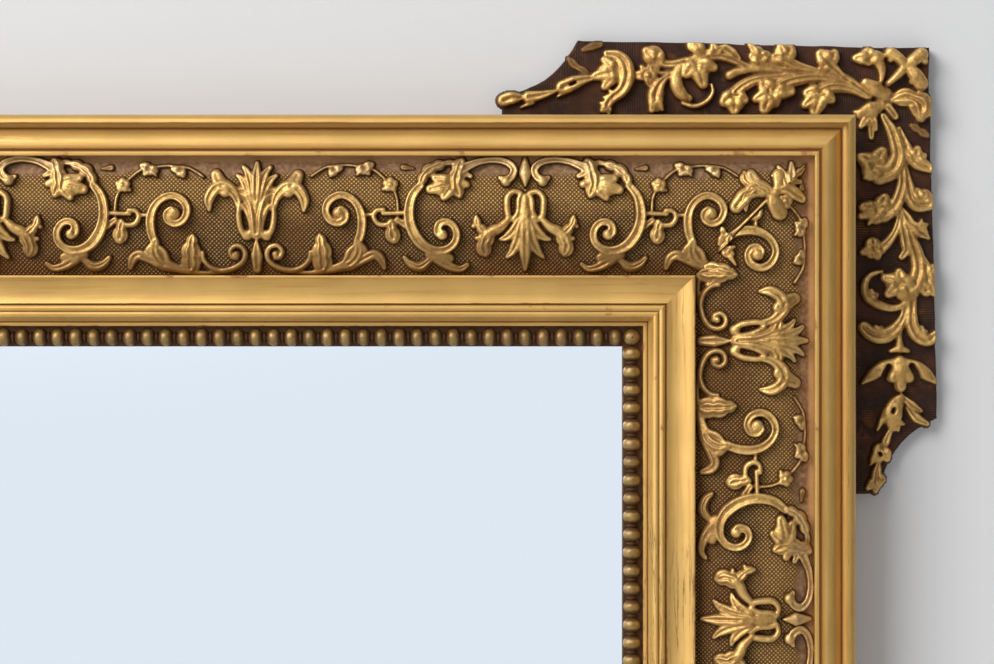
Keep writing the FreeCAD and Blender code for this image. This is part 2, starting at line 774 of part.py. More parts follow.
def nail_places():
    """Two nails at each end of each plank, and three along the lap of each ear."""
    end = PLANK_HALF_LENGTH.value - dim.nail_inset.value
    step = PLANK_HEIGHT.value + dim.plank_gap.value
    places = []
    for number in range(len(PLANKS)):
        middle = (number - (len(PLANKS) - 1) / 2) * step
        for way in (-1, 1):
            for share in (-0.3, 0.3):
                places.append((way * end, middle + share * PLANK_HEIGHT.value))
    lap = CHASSIS_OUT.value - dim.ear_lap.value / 2
    lap_x = HALF_WIDTH.value + lap
    lap_z = HALF_HEIGHT.value + lap
    arm_x = HALF_WIDTH.value + OUTER_OUT.value + dim.ear_projection.value - dim.ear_arm_across.value
    arm_z = HALF_HEIGHT.value + OUTER_OUT.value + dim.ear_rise.value - dim.ear_arm_down.value
    for facing_x, facing_z in CORNERS.values():
        for x, z in ((lap_x, lap_z), (arm_x + dim.ear_lap.value, lap_z), (lap_x, arm_z + dim.ear_lap.value)):
            places.append((facing_x * x, facing_z * z))
    return places


def back_nails():
    """Square cut brads, flush with the back."""
    width = dim.nail_width.value
    nails = []
    for x, z in nail_places():
        brad = Part.makeBox(width, dim.nail_length.value, width)
        brad.translate(FreeCAD.Vector(x - width / 2, -dim.nail_length.value, z - width / 2))
        nails.append(brad)
    return group("back_nails", nails)


def back_plank(number, nails):
    name = "back_plank_" + PLANKS[number]
    blank = doc.addObject("Part::Box", name + "_blank")
    bind(blank, "Length", PLANK_HALF_LENGTH * 2)
    bind(blank, "Width", dim.plank_thick)
    bind(blank, "Height", PLANK_HEIGHT)
    bind(blank, "Placement.Base.x", -PLANK_HALF_LENGTH)
    bind(blank, "Placement.Base.y", -dim.plank_thick)
    bind(blank, "Placement.Base.z", (PLANK_HEIGHT + dim.plank_gap) * number - PLANKS_HALF_HEIGHT)
    return cut_out(name, blank, nails)


def cut_out(label, blank, tool):
    cut = doc.addObject("Part::Cut", label)
    cut.Base = blank
    cut.Tool = tool
    return keep(cut, label)


def mitre_keys():
    """Double dovetail keys let into the back of the chassis across its mitres."""
    half = dim.key_length.value / 2
    end = dim.key_end_width.value / 2
    waist = dim.key_waist.value / 2
    outline = [(-half, -end), (0, -waist), (half, -end), (half, end), (0, waist), (-half, end)]
    outline = moved(turned(outline, -45), HALF_WIDTH.value + HANGER_REACH.value,
                    HALF_HEIGHT.value + HANGER_REACH.value)
    key = prism(outline, dim.plank_thick.value, dim.plank_thick.value + dim.key_thick.value)
    return group("mitre_keys", at_every_corner(key))


# Hanging gear: a plate with a rolled knuckle, screwed to each stile, and a ring that swings in it
HANGERS = {"right": 1, "left": -1}


def along_x(name, radius, length, x, depth, z):
    """A round bar with flats, as wide across them as twice the radius, along X and centred at x."""
    part = doc.addObject("Part::Prism", name)
    part.Polygon = KNUCKLE_SIDES
    bind(part, "Circumradius", radius / math.cos(math.pi / KNUCKLE_SIDES))
    bind(part, "Height", length)
    part.Placement = FreeCAD.Placement(FreeCAD.Vector(), FreeCAD.Rotation(Y_AXIS, 90))
    bind(part, "Placement.Base.x", x - length / 2)
    bind(part, "Placement.Base.y", -depth)
    bind(part, "Placement.Base.z", z)
    return part


def screw_shapes(play):
    """Countersunk screws of both hanger plates, or the holes for them, larger by a play."""
    shapes = []
    back = dim.plank_thick.value - dim.plate_thick.value
    stations = ((0, dim.screw_head_radius.value), (dim.plate_thick.value, dim.screw_radius.value),
                (dim.screw_length.value + play, dim.screw_radius.value))
    for way in HANGERS.values():
        for rise in (dim.screw_low.value, dim.screw_high.value):
            base = FreeCAD.Vector(way * (HALF_WIDTH.value + HANGER_REACH.value), -back,
                                  dim.hanger_height.value + rise)
            rings = [ring_of(SCREW_SIDES, radius + play, base - Y_AXIS * depth) for depth, radius in stations]
            shapes.append(solid_of(walls(rings) + [rings[0], rings[-1]]))
    return shapes


def hanger_plate(side, holes):
    name = "hanger_plate_" + side
    middle = (HALF_WIDTH + HANGER_REACH) * HANGERS[side]
    leaf = doc.addObject("Part::Box", name + "_leaf")
    bind(leaf, "Length", dim.plate_width)
    bind(leaf, "Width", dim.plate_thick)
    bind(leaf, "Height", dim.plate_height)
    bind(leaf, "Placement.Base.x", middle - dim.plate_width / 2)
    bind(leaf, "Placement.Base.y", -dim.plank_thick)
    bind(leaf, "Placement.Base.z", dim.hanger_height)
    knuckle = along_x(name + "_knuckle", dim.knuckle_radius, dim.plate_width, middle, RING_DEPTH,
                      dim.hanger_height)
    bore = along_x(name + "_bore", dim.ring_wire_radius + dim.ring_play, dim.plate_width + 2, middle, RING_DEPTH,
                   dim.hanger_height)
    joined = doc.addObject("Part::MultiFuse", name + "_joined")
    joined.Shapes = [leaf, knuckle]
    bored = doc.addObject("Part::Cut", name + "_bored")
    bored.Base = joined
    bored.Tool = bore
    return cut_out(name, bored, holes)


HALF_ROUND_CHORDS = 8


def hanger_ring(side):
    """A D-shaped ring: a straight bar in the knuckle, two small corners, two legs and a half round below."""
    middle = HANGERS[side] * (HALF_WIDTH.value + HANGER_REACH.value)
    bar = dim.ring_bar_half.value
    corner = dim.ring_corner_radius.value
    wide = bar + corner
    low = corner + dim.ring_leg.value
    bend = corner * math.sqrt(0.5)
    path = [(-wide, -corner), (-bar - bend, bend - corner), (-bar, 0), (bar, 0), (bar + bend, bend - corner),
            (wide, -corner)]
    for chord in range(HALF_ROUND_CHORDS + 1):
        angle = math.pi * chord / HALF_ROUND_CHORDS
        path.append((wide * math.cos(angle), -low - wide * math.sin(angle)))
    points = [FreeCAD.Vector(middle + x, -RING_DEPTH.value, dim.hanger_height.value + z) for x, z in path]
    rings = []
    for number, point in enumerate(points):
        before = (point - points[number - 1]).normalize()
        after = (points[(number + 1) % len(points)] - point).normalize()
        out = (before + after).normalize().cross(Y_AXIS)
        out = out * (dim.ring_wire_radius.value / out.dot(before.cross(Y_AXIS)))
        side_on = Y_AXIS * dim.ring_wire_radius.value
        angles = [2 * math.pi * flat / WIRE_SIDES for flat in range(WIRE_SIDES)]
        rings.append([point + out * math.sin(angle) + side_on * math.cos(angle) for angle in angles])
    return group("hanger_ring_" + side, [solid_of(walls(rings + rings[:1]))])


# Build every piece
screws = group("hanger_screws", screw_shapes(0.0))
screw_holes = doc.addObject("Part::Feature", "screw_holes")
screw_holes.Shape = Part.makeCompound(screw_shapes(dim.screw_play.value))
nails = back_nails()
keys = mitre_keys()
let_in = doc.addObject("Part::Compound", "let_in")
let_in.Links = [nails, keys, screw_holes]

for side in SIDES:
    blank = mitred_rail(f"chassis_{side}_blank", side, chassis_section(), CHASSIS_IN, CHASSIS_OUT)
    cut_out("chassis_" + side, blank, let_in)
    for name, section, inside, outside in (
            ("sight_slip", slip_section(), ZERO, INNER_IN),
            ("inner_moulding", inner_section(), INNER_IN, FRIEZE_IN),
            ("frieze", frieze_section(), FRIEZE_IN, OUTER_IN),
            ("outer_moulding", outer_section(), OUTER_IN, OUTER_OUT)):
        label = f"{name}_{side}"
        keep(mitred_rail(label, side, section, inside, outside), label)
    bead_string(side)
    frieze_scrolls(side)
    frieze_palmettes(side)
corner_beads()
corner_leaves()

for corner in CORNERS:
    ear_board(corner, nails)
    ear_vine(corner)

keep(plate("mirror_glass", HALF_WIDTH + dim.glass_lap, HALF_HEIGHT + dim.glass_lap, GLASS_BACK,
           dim.glass_thick), "mirror_glass")
keep(plate("silvering", HALF_WIDTH + dim.glass_lap, HALF_HEIGHT + dim.glass_lap, SILVER_BACK,
           dim.silver_thick), "silvering")
glass_blocks()
for number in range(len(PLANKS)):
    back_plank(number, nails)
for side in HANGERS:
    hanger_plate(side, screw_holes)
    hanger_ring(side)

doc.recompute()

# Nothing is written unless every object is sound
for thing in doc.Objects:
    if "Invalid" in thing.State or "Error" in thing.State:
        raise RuntimeError(f"{thing.Label} is {thing.State}")
for part in sub_parts:
    if part.Shape.isNull() or not part.Shape.isValid() or not part.Shape.Solids:
        raise RuntimeError(f"{part.Label} has no sound solid")

os.makedirs("parts", exist_ok=True)
for part in sub_parts:
    part.Shape.exportStep(f"parts/{part.Label}.step")
print(len(sub_parts), "nodes,", sum(len(part.Shape.Solids) for part in sub_parts), "solids")
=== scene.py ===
"""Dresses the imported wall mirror: gilt mouldings, cast ornament, carved ears, glass, back and stage."""
import math

import bpy
import numpy as np
from bpy.props import FloatProperty, FloatVectorProperty, PointerProperty
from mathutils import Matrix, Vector


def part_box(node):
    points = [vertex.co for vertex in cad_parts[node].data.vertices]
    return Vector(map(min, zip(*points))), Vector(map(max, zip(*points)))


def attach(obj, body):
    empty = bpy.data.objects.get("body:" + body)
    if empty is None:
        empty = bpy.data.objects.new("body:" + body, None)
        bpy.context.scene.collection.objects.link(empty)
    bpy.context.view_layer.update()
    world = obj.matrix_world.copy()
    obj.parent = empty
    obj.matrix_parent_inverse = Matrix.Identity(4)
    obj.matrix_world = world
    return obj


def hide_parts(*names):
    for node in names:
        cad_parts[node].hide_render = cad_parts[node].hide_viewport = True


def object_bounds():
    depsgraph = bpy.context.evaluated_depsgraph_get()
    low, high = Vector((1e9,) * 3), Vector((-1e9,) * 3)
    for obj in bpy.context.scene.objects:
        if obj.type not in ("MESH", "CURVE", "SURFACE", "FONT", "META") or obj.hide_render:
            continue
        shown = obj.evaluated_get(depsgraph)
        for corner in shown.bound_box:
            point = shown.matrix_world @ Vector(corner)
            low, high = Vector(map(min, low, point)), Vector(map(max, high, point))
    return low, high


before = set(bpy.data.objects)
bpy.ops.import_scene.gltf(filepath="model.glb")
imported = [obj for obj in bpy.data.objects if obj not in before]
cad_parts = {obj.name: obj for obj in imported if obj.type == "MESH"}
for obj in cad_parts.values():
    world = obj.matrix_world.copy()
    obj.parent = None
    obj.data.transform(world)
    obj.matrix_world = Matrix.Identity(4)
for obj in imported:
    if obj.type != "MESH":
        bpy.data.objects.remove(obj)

bl_info = {
    "name": "Gilt mirror dresser",
    "version": (1, 0, 0),
    "blender": (4, 5, 0),
    "location": "3D View > Sidebar > Mirror",
    "description": "Gilding, cast ornament, carved ears, glass and stage for a packed wall mirror",
    "category": "Object",
}

CAD_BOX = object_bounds()
MM = 0.001


def box_mm(node):
    """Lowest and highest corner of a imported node, in millimetres."""
    low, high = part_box(node)
    return np.array(low) / MM, np.array(high) / MM


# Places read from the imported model, in millimetres. A reach counts from the sight edge outwards,
# a rise from the front of the chassis, a depth from the wall.
SLIP_LOW, SLIP_HIGH = box_mm("sight_slip_top")
HALF_HEIGHT = SLIP_LOW[2]
HALF_WIDTH = box_mm("sight_slip_right")[0][0]
FRONT = -SLIP_HIGH[1]
INNER_IN = SLIP_HIGH[2] - HALF_HEIGHT
FRIEZE_IN = box_mm("inner_moulding_top")[1][2] - HALF_HEIGHT
OUTER_IN = box_mm("frieze_top")[1][2] - HALF_HEIGHT
OUTER_OUT = box_mm("outer_moulding_top")[1][2] - HALF_HEIGHT
FRIEZE_MID = (FRIEZE_IN + OUTER_IN) / 2
FRIEZE_HALF = (OUTER_IN - FRIEZE_IN) / 2
EAR_LOW, EAR_HIGH = box_mm("ear_top_right")
EAR_FRONT = -EAR_LOW[1]
EAR_BACK = -EAR_HIGH[1]
MOULDING_X = HALF_WIDTH + OUTER_OUT
MOULDING_Z = HALF_HEIGHT + OUTER_OUT

SIDES = ("top", "right", "bottom", "left")
RUN = dict(zip(SIDES, (2 * HALF_WIDTH, 2 * HALF_HEIGHT) * 2))
ACROSS = dict(zip(SIDES, (HALF_HEIGHT, HALF_WIDTH) * 2))
CORNERS = {"top_right": (1, 1), "bottom_right": (1, -1), "bottom_left": (-1, -1), "top_left": (-1, 1)}

# Sections of the mouldings: (reach from the moulding's own inside edge, rise), and after the two
# numbers, where an arc leaves the point, its radius and 1 if it swells or -1 if it is hollow.
SLIP_RISE = 3.2
SLIP_SECTION = [(0, 0), (0, 2.4, 0.9, 1), (0.8, SLIP_RISE), (INNER_IN, SLIP_RISE), (INNER_IN, 0)]
INNER_SECTION = [
    (0, 0), (0, 8.6, 0.5, 1), (0.4, 9.0), (1.8, 9.0, 0.5, 1), (2.2, 8.7), (4.8, 16.2, 1.9, 1),
    (8.2, 17.0, 1.9, 1), (11.6, 17.6), (11.7, 16.8), (12.6, 16.8), (12.7, 18.0, 13.2, -1),
    (26.8, 21.7, 0.4, 1), (27.1, 22.0), (27.9, 22.0, 0.5, 1), (28.3, 21.5), (28.3, 0)]
OUTER_SECTION = [
    (0, 0), (0, 21.6, 0.5, 1), (0.4, 22.0), (2.0, 22.0, 0.5, 1), (2.4, 21.6), (2.6, 20.9), (3.7, 20.9),
    (4.0, 21.9, 10.6, 1), (15.4, 15.4, 4.2, -1), (18.5, 22.4, 4.9, 1), (23.3, 17.6), (23.3, 0)]
FRIEZE_EDGE = 13.0
FRIEZE_CROWN = 6.5
FRIEZE_RADIUS = (FRIEZE_HALF ** 2 + FRIEZE_CROWN ** 2) / (2 * FRIEZE_CROWN)
FRIEZE_SECTION = [(0, 0), (0, FRIEZE_EDGE, FRIEZE_RADIUS, 1), (2 * FRIEZE_HALF, FRIEZE_EDGE),
                  (2 * FRIEZE_HALF, 0)]


class CarvingSizes(bpy.types.PropertyGroup):
    """Sizes of the carved and cast ornament that a user would change."""
    half_repeat_across: FloatProperty(
        name="Half repeat across", description="From one palmette to the next along the top and bottom",
        default=0.150, min=0.05, unit="LENGTH")
    half_repeat_down: FloatProperty(
        name="Half repeat down", description="From one palmette to the next along the sides",
        default=0.1563, min=0.05, unit="LENGTH")
    frieze_step: FloatProperty(
        name="Frieze step", description="Distance between the points of the cast ornament's surface",
        default=0.00056, min=0.0003, unit="LENGTH")
    ear_step: FloatProperty(
        name="Ear step", description="Distance between the points of the carved vine's surface",
        default=0.00055, min=0.0003, unit="LENGTH")
    bead_pitch: FloatProperty(
        name="Bead pitch", description="From one bead to the next along the sight edge",
        default=0.0102, min=0.004, unit="LENGTH")


class GiltColours(bpy.types.PropertyGroup):
    """Colours of the gilding that a user would change."""
    gold: FloatVectorProperty(
        name="Gold", description="Gold leaf where it is whole",
        default=(0.67, 0.41, 0.125), subtype="COLOR", size=3, min=0, max=1)
    # Also the colour of the painted shade in the tight hollows of the mouldings, and in the hollows and low
    # parts of the carvings.
    patina_and_shade: FloatVectorProperty(
        name="Patina", description="Dark dirt and toned size in the hollows",
        default=(0.075, 0.030, 0.008), subtype="COLOR", size=3, min=0, max=1)
    bole: FloatVectorProperty(
        name="Bole", description="Red-brown clay that shows where the leaf is rubbed",
        default=(0.30, 0.105, 0.035), subtype="COLOR", size=3, min=0, max=1)
    gesso: FloatVectorProperty(
        name="Gesso", description="Chalk ground that shows where the gilding has chipped",
        default=(0.68, 0.55, 0.40), subtype="COLOR", size=3, min=0, max=1)
    # Also the colour of the painted shade in the wider hollows of the mouldings.
    toned_and_shade: FloatVectorProperty(
        name="Toned gold", description="Gold leaf under brown size, on slopes and in shallow hollows",
        default=(0.37, 0.150, 0.024), subtype="COLOR", size=3, min=0, max=1)
    # Darkened, also the colour of the painted shade on the carvings' slopes.
    bronze: FloatVectorProperty(
        name="Bronze", description="Gold leaf under brown size on carved and cast ornament",
        default=(0.30, 0.150, 0.043), subtype="COLOR", size=3, min=0, max=1)
    ear_ground: FloatVectorProperty(
        name="Ear ground", description="Stained and combed board behind the vine",
        default=(0.030, 0.014, 0.009), subtype="COLOR", size=3, min=0, max=1)


class StageSettings(bpy.types.PropertyGroup):
    """Wall, light and camera of the studio."""
    wall_colour: FloatVectorProperty(
        name="Wall", description="Colour of the wall and the floor",
        default=(0.74, 0.742, 0.748), subtype="COLOR", size=3, min=0, max=1)
    key_power: FloatProperty(
        name="Key power", description="Power of the soft lamp at the upper left", default=190.0, min=0,
        unit="POWER")
    fill: FloatProperty(
        name="Fill", description="Strength of the light from all round", default=0.23, min=0)
    focal_length: FloatProperty(
        name="Focal length", description="Lens of the camera, in millimetres", default=84.1, min=10)


# Meshes
def to_world(side, along, out, depth):
    """Points on a side of the frame: along it, out from the mirror's centre, forward from the wall."""
    x, z = {"top": (along, out), "right": (out, -along), "bottom": (-along, -out),
            "left": (-out, along)}[side]
    return np.stack(np.broadcast_arrays(x, -depth, z), axis=-1)


def at_corner(corner, across, depth, up):
    """Places of a grid made for the top right corner, carried to any, and whether that mirrors it."""
    facing_x, facing_z = CORNERS[corner]
    places = np.stack((facing_x * across, -depth, facing_z * up), axis=-1)
    return places.reshape(-1, 3), facing_x * facing_z < 0


def merged(copies, faces):
    """Points and faces of several copies of a mesh, each its places and whether it is mirrored."""
    groups = []
    for number, (places, mirrored) in enumerate(copies):
        groups.append((faces[:, ::-1] if mirrored else faces) + number * len(places))
    return np.vstack([places for places, _ in copies]), np.vstack(groups)


def faces_away(points, faces, closed):
    """Whether a closed piece is inside out, or an open one looks away from the viewer."""
    total = 0.0
    for group in faces:
        for corner in range(1, group.shape[1] - 1):
            first, second, third = (points[group[:, number]] for number in (0, corner, corner + 1))
            if closed:
                total += np.einsum("ij,ij->i", first, np.cross(second, third)).sum()
            else:
                total -= np.cross(second - first, third - first)[:, 1].sum()
    return total < 0


def add_piece(name, node, points, faces, finish, values=None, closed=True, sharp=None, body="frame"):
    """A mesh from points in millimetres and arrays of faces, facing outwards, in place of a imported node."""
    faces = [np.asarray(group, dtype=np.int64) for group in faces]
    if faces_away(points, faces, closed):
        faces = [group[:, ::-1] for group in faces]
    corners = np.concatenate([group.ravel() for group in faces])
    counts = np.concatenate([np.full(len(group), group.shape[1]) for group in faces])
    mesh = bpy.data.meshes.new(name)
    mesh.vertices.add(len(points))
    mesh.vertices.foreach_set("co", (points * MM).astype(np.float32).ravel())
    mesh.loops.add(len(corners))
    mesh.loops.foreach_set("vertex_index", corners.astype(np.int32))
    mesh.polygons.add(len(counts))
    mesh.polygons.foreach_set("loop_start", np.concatenate(([0], np.cumsum(counts)[:-1])).astype(np.int32))
    mesh.update(calc_edges=True)
    if mesh.validate():
        raise RuntimeError(f"{name} has faulty faces")
    mesh.shade_smooth()
    if sharp is not None:
        mesh.set_sharp_from_angle(angle=math.radians(sharp))
    for key, numbers in (values or {}).items():
        field = mesh.attributes.new(key, "FLOAT", "POINT")
        field.data.foreach_set("value", numbers.astype(np.float32).ravel())
    mesh.materials.append(finish)
    piece = bpy.data.objects.new(name, mesh)
    bpy.context.scene.collection.objects.link(piece)
    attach(piece, body)
    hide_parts(node)


def grid_faces(rows, columns, wrap=False):
    """Quads of a grid of points in rows, its last column joined to its first if it wraps."""
    numbers = np.arange(rows * columns).reshape(rows, columns)
    if wrap:
        numbers = np.hstack((numbers, numbers[:, :1]))
    corners = (numbers[:-1, :-1], numbers[1:, :-1], numbers[1:, 1:], numbers[:-1, 1:])
    return np.stack(corners, axis=-1).reshape(-1, 4)


def bar_faces(rows, columns):
    """Faces of a closed bar: rings of points in rows, and a cap at each end."""
    ring = np.arange(columns)[None, :]
    return [grid_faces(rows, columns, wrap=True), ring[:, ::-1], (rows - 1) * columns + ring]


def eased(share):
    return share * share * (3 - 2 * share)


def drift(places, spacing, seed):
    """Smooth random numbers from -1 to 1 along a line."""
    steps = (places - places.min()) / spacing
    knots = np.random.default_rng(seed).uniform(-1, 1, int(steps.max()) + 2)
    index = np.floor(steps).astype(int)
    share = eased(steps - index)
    return knots[index] * (1 - share) + knots[index + 1] * share


def between(field, row, column, easing=None):
    """Numbers of a field at any rows and columns, blended from the four around each."""
    i = np.floor(row).astype(int)
    j = np.floor(column).astype(int)
    a = easing(row - i) if easing else row - i
    b = easing(column - j) if easing else column - j
    low = field[i, j] * (1 - b) + field[i, j + 1] * b
    high = field[i + 1, j] * (1 - b) + field[i + 1, j + 1] * b
    return low * (1 - a) + high * a


def drift_over(across, up, spacing, seed):
    """Smooth random numbers from -1 to 1 over a plane."""
    column = (across - across.min()) / spacing
    row = (up - up.min()) / spacing
    knots = np.random.default_rng(seed).uniform(-1, 1, (int(row.max()) + 2, int(column.max()) + 2))
    return between(knots, row, column, eased)


def softened(field, times):
    """A field of numbers, each blended with its neighbours, several times."""
    for _ in range(times):
        edged = np.pad(field, 1, mode="edge")
        rows = (edged[:-2] + 2 * edged[1:-1] + edged[2:]) / 4
        field = (rows[:, :-2] + 2 * rows[:, 1:-1] + rows[:, 2:]) / 4
    return field


# Mouldings
FLAT_STEP = 3.0
ARC_STEP = 0.7
SAMPLE_STEP = 0.1
STATION_STEP = 5.0
MOULDING_SHARP = 32


def section_line(section):
    """The points of a section, with its arcs drawn out and its long lines divided."""
    line = []
    for number, corner in enumerate(section):
        start = np.array(corner[:2], float)
        chord = np.array(section[(number + 1) % len(section)][:2], float) - start
        length = np.hypot(*chord)
        if len(corner) == 2:
            pieces = max(1, math.ceil(length / FLAT_STEP))
            line.extend(start + chord * step / pieces for step in range(pieces))
            continue
        radius, swell = corner[2:]
        normal = np.array((-chord[1], chord[0])) / length * swell
        drop = math.sqrt(max(radius * radius - length * length / 4, 0.0))
        centre = start + chord / 2 - normal * drop
        first = math.atan2(start[1] - centre[1], start[0] - centre[0])
        turn = -swell * 2 * math.asin(min(1.0, length / 2 / radius))
        pieces = max(4, math.ceil(abs(turn) * radius / ARC_STEP))
        for step in range(pieces):
            angle = first + turn * step / pieces
            line.append(centre + radius * np.array((math.cos(angle), math.sin(angle))))
    return np.array(line)


def hollowness(line, reach):
    """Positive where a closed section is hollow within a reach, negative where it stands out."""
    lengths = np.hypot(*(np.roll(line, -1, axis=0) - line).T)
    places = np.concatenate(([0], np.cumsum(lengths)))
    samples = np.linspace(0, places[-1], int(places[-1] / SAMPLE_STEP), endpoint=False)
    closed = np.vstack((line, line[:1]))
    dense = np.stack([np.interp(samples, places, closed[:, axis]) for axis in (0, 1)], axis=1)
    half = int(reach / SAMPLE_STEP)
    kernel = np.ones(2 * half + 1) / (2 * half + 1)
    round_trip = np.vstack((dense[-half:], dense, dense[:half]))
    mean = np.stack([np.convolve(round_trip[:, axis], kernel, "valid") for axis in (0, 1)], axis=1)
    way = np.roll(dense, -2, axis=0) - np.roll(dense, 2, axis=0)
    normal = np.stack((-way[:, 1], way[:, 0]), axis=1) / np.maximum(np.hypot(*way.T), 1e-9)[:, None]
    lift = ((mean - dense) * normal).sum(axis=1)
    return np.interp(places[:-1], samples, lift)


def moulding(name, node, side, section, inside, finish, seed, wobble):
    """A length of moulding, mitred at both ends, whose surface drifts a little as handwork does."""
    line = section_line(section)
    stations = np.linspace(-1, 1, int(RUN[side] / STATION_STEP))
    places = stations * RUN[side] / 2
    reach = inside + line[:, 0]
    along = stations[:, None] * (RUN[side] / 2 + reach)[None, :]
    reaches = np.broadcast_to(reach, along.shape)
    off_mitre = np.clip((1 - np.abs(stations)) * 25, 0, 1)[:, None]
    raised = np.clip(line[:, 1] / 4, 0, 1)[None, :]
    sway = drift(places, 70, seed)[:, None] + 0.5 * drift(places, 16, seed + 1)[:, None]
    dents = drift_over(along, reaches * 4.0, 9, seed + 2)
    rise = line[None, :, 1] + off_mitre * raised * (wobble * sway + 0.35 * wobble * dents)
    points = to_world(side, along, ACROSS[side] + reaches, FRONT + rise).reshape(-1, 3)
    values = {"along": along * MM, "reach": reaches * MM}
    # hollow marks the tight hollows for grime and painted shade; dip marks the wider hollows for painted
    # shade.
    for key, span in (("hollow", 1.6), ("dip", 2.0)):
        values[key] = np.broadcast_to(hollowness(line, span)[None, :], along.shape)
    add_piece(name, node, points, bar_faces(*along.shape), finish, values, sharp=MOULDING_SHARP)


# Reliefs: strokes with a round, hollow or leafy section over a flat field
LOWEST = -0.9
SHOWN_ABOVE = -0.35
SCALLOP = 0.34
SIDE_SLOPE = 2.2
CUT_SLOPE = 4


def curve_through(points, pieces=7):
    """A smooth line through points."""
    points = np.array(points, float)
    if len(points) < 3:
        return np.linspace(points[0], points[-1], pieces + 1)
    padded = np.vstack((2 * points[0] - points[1], points, 2 * points[-1] - points[-2]))
    line = []
    for number in range(len(points) - 1):
        before, start, end, after = padded[number:number + 4]
        for share in np.linspace(0, 1, pieces, endpoint=False):
            line.append(0.5 * (2 * start + (end - before) * share
                               + (2 * before - 5 * start + 4 * end - after) * share ** 2
                               + (3 * start - before - 3 * end + after) * share ** 3))
    line.append(points[-1])
    return np.array(line)


def rounded(q, power):
    """The fall from 1 in the middle of a stroke to 0 at its edge; a higher power makes it squarer."""
    return np.clip(1 - q ** power, 0, 1) ** 0.5


def veined(q, depth, width):
    """A groove along the middle of a stroke."""
    return 1 - depth * np.exp(-(q / width) ** 2)


def band_top(q, rim=0.62):
    """A band with a shallow hollow between two rounded edges."""
    edge = np.sqrt(np.clip(1 - ((q - rim) / (1 - rim)) ** 2, 0, 1))
    return np.where(q < rim, 0.74 + 0.26 * (q / rim) ** 2, edge)


TOPS = {
    "round": lambda q: rounded(q, 2.6),
    "band": band_top,
    "petal": lambda q: rounded(q, 4) * veined(q, 0.26, 0.2),
    "ribbed": lambda q: rounded(q, 5) * (0.87 - 0.14 * np.cos(q * 3 * math.pi)),
    "pad": lambda q: (0.84 + 0.16 * (1 - q * q)) * rounded(q, 7),
    "leaf": lambda q: (0.86 + 0.14 * (1 - q * q)) * rounded(q, 7) * veined(q, 0.13, 0.15),
}


def trefoil(foot, x, z, radius):
    """Three lobes in the room of one."""
    way = complex(x - foot[0], z - foot[1])
    way = way / abs(way) * max(abs(way), radius)
    lobes = []
    for turn, share in ((0.0, 0.74), (0.95, 0.62), (-0.95, 0.62)):
        place = way * complex(math.cos(turn), math.sin(turn))
        lobes.append((foot[0] + place.real, foot[1] + place.imag, share * radius))
    return lobes


def spread_along(shares, numbers):
    """Numbers spread evenly along a line, at shares of its length."""
    return np.interp(shares, np.linspace(0, 1, len(numbers)), numbers)


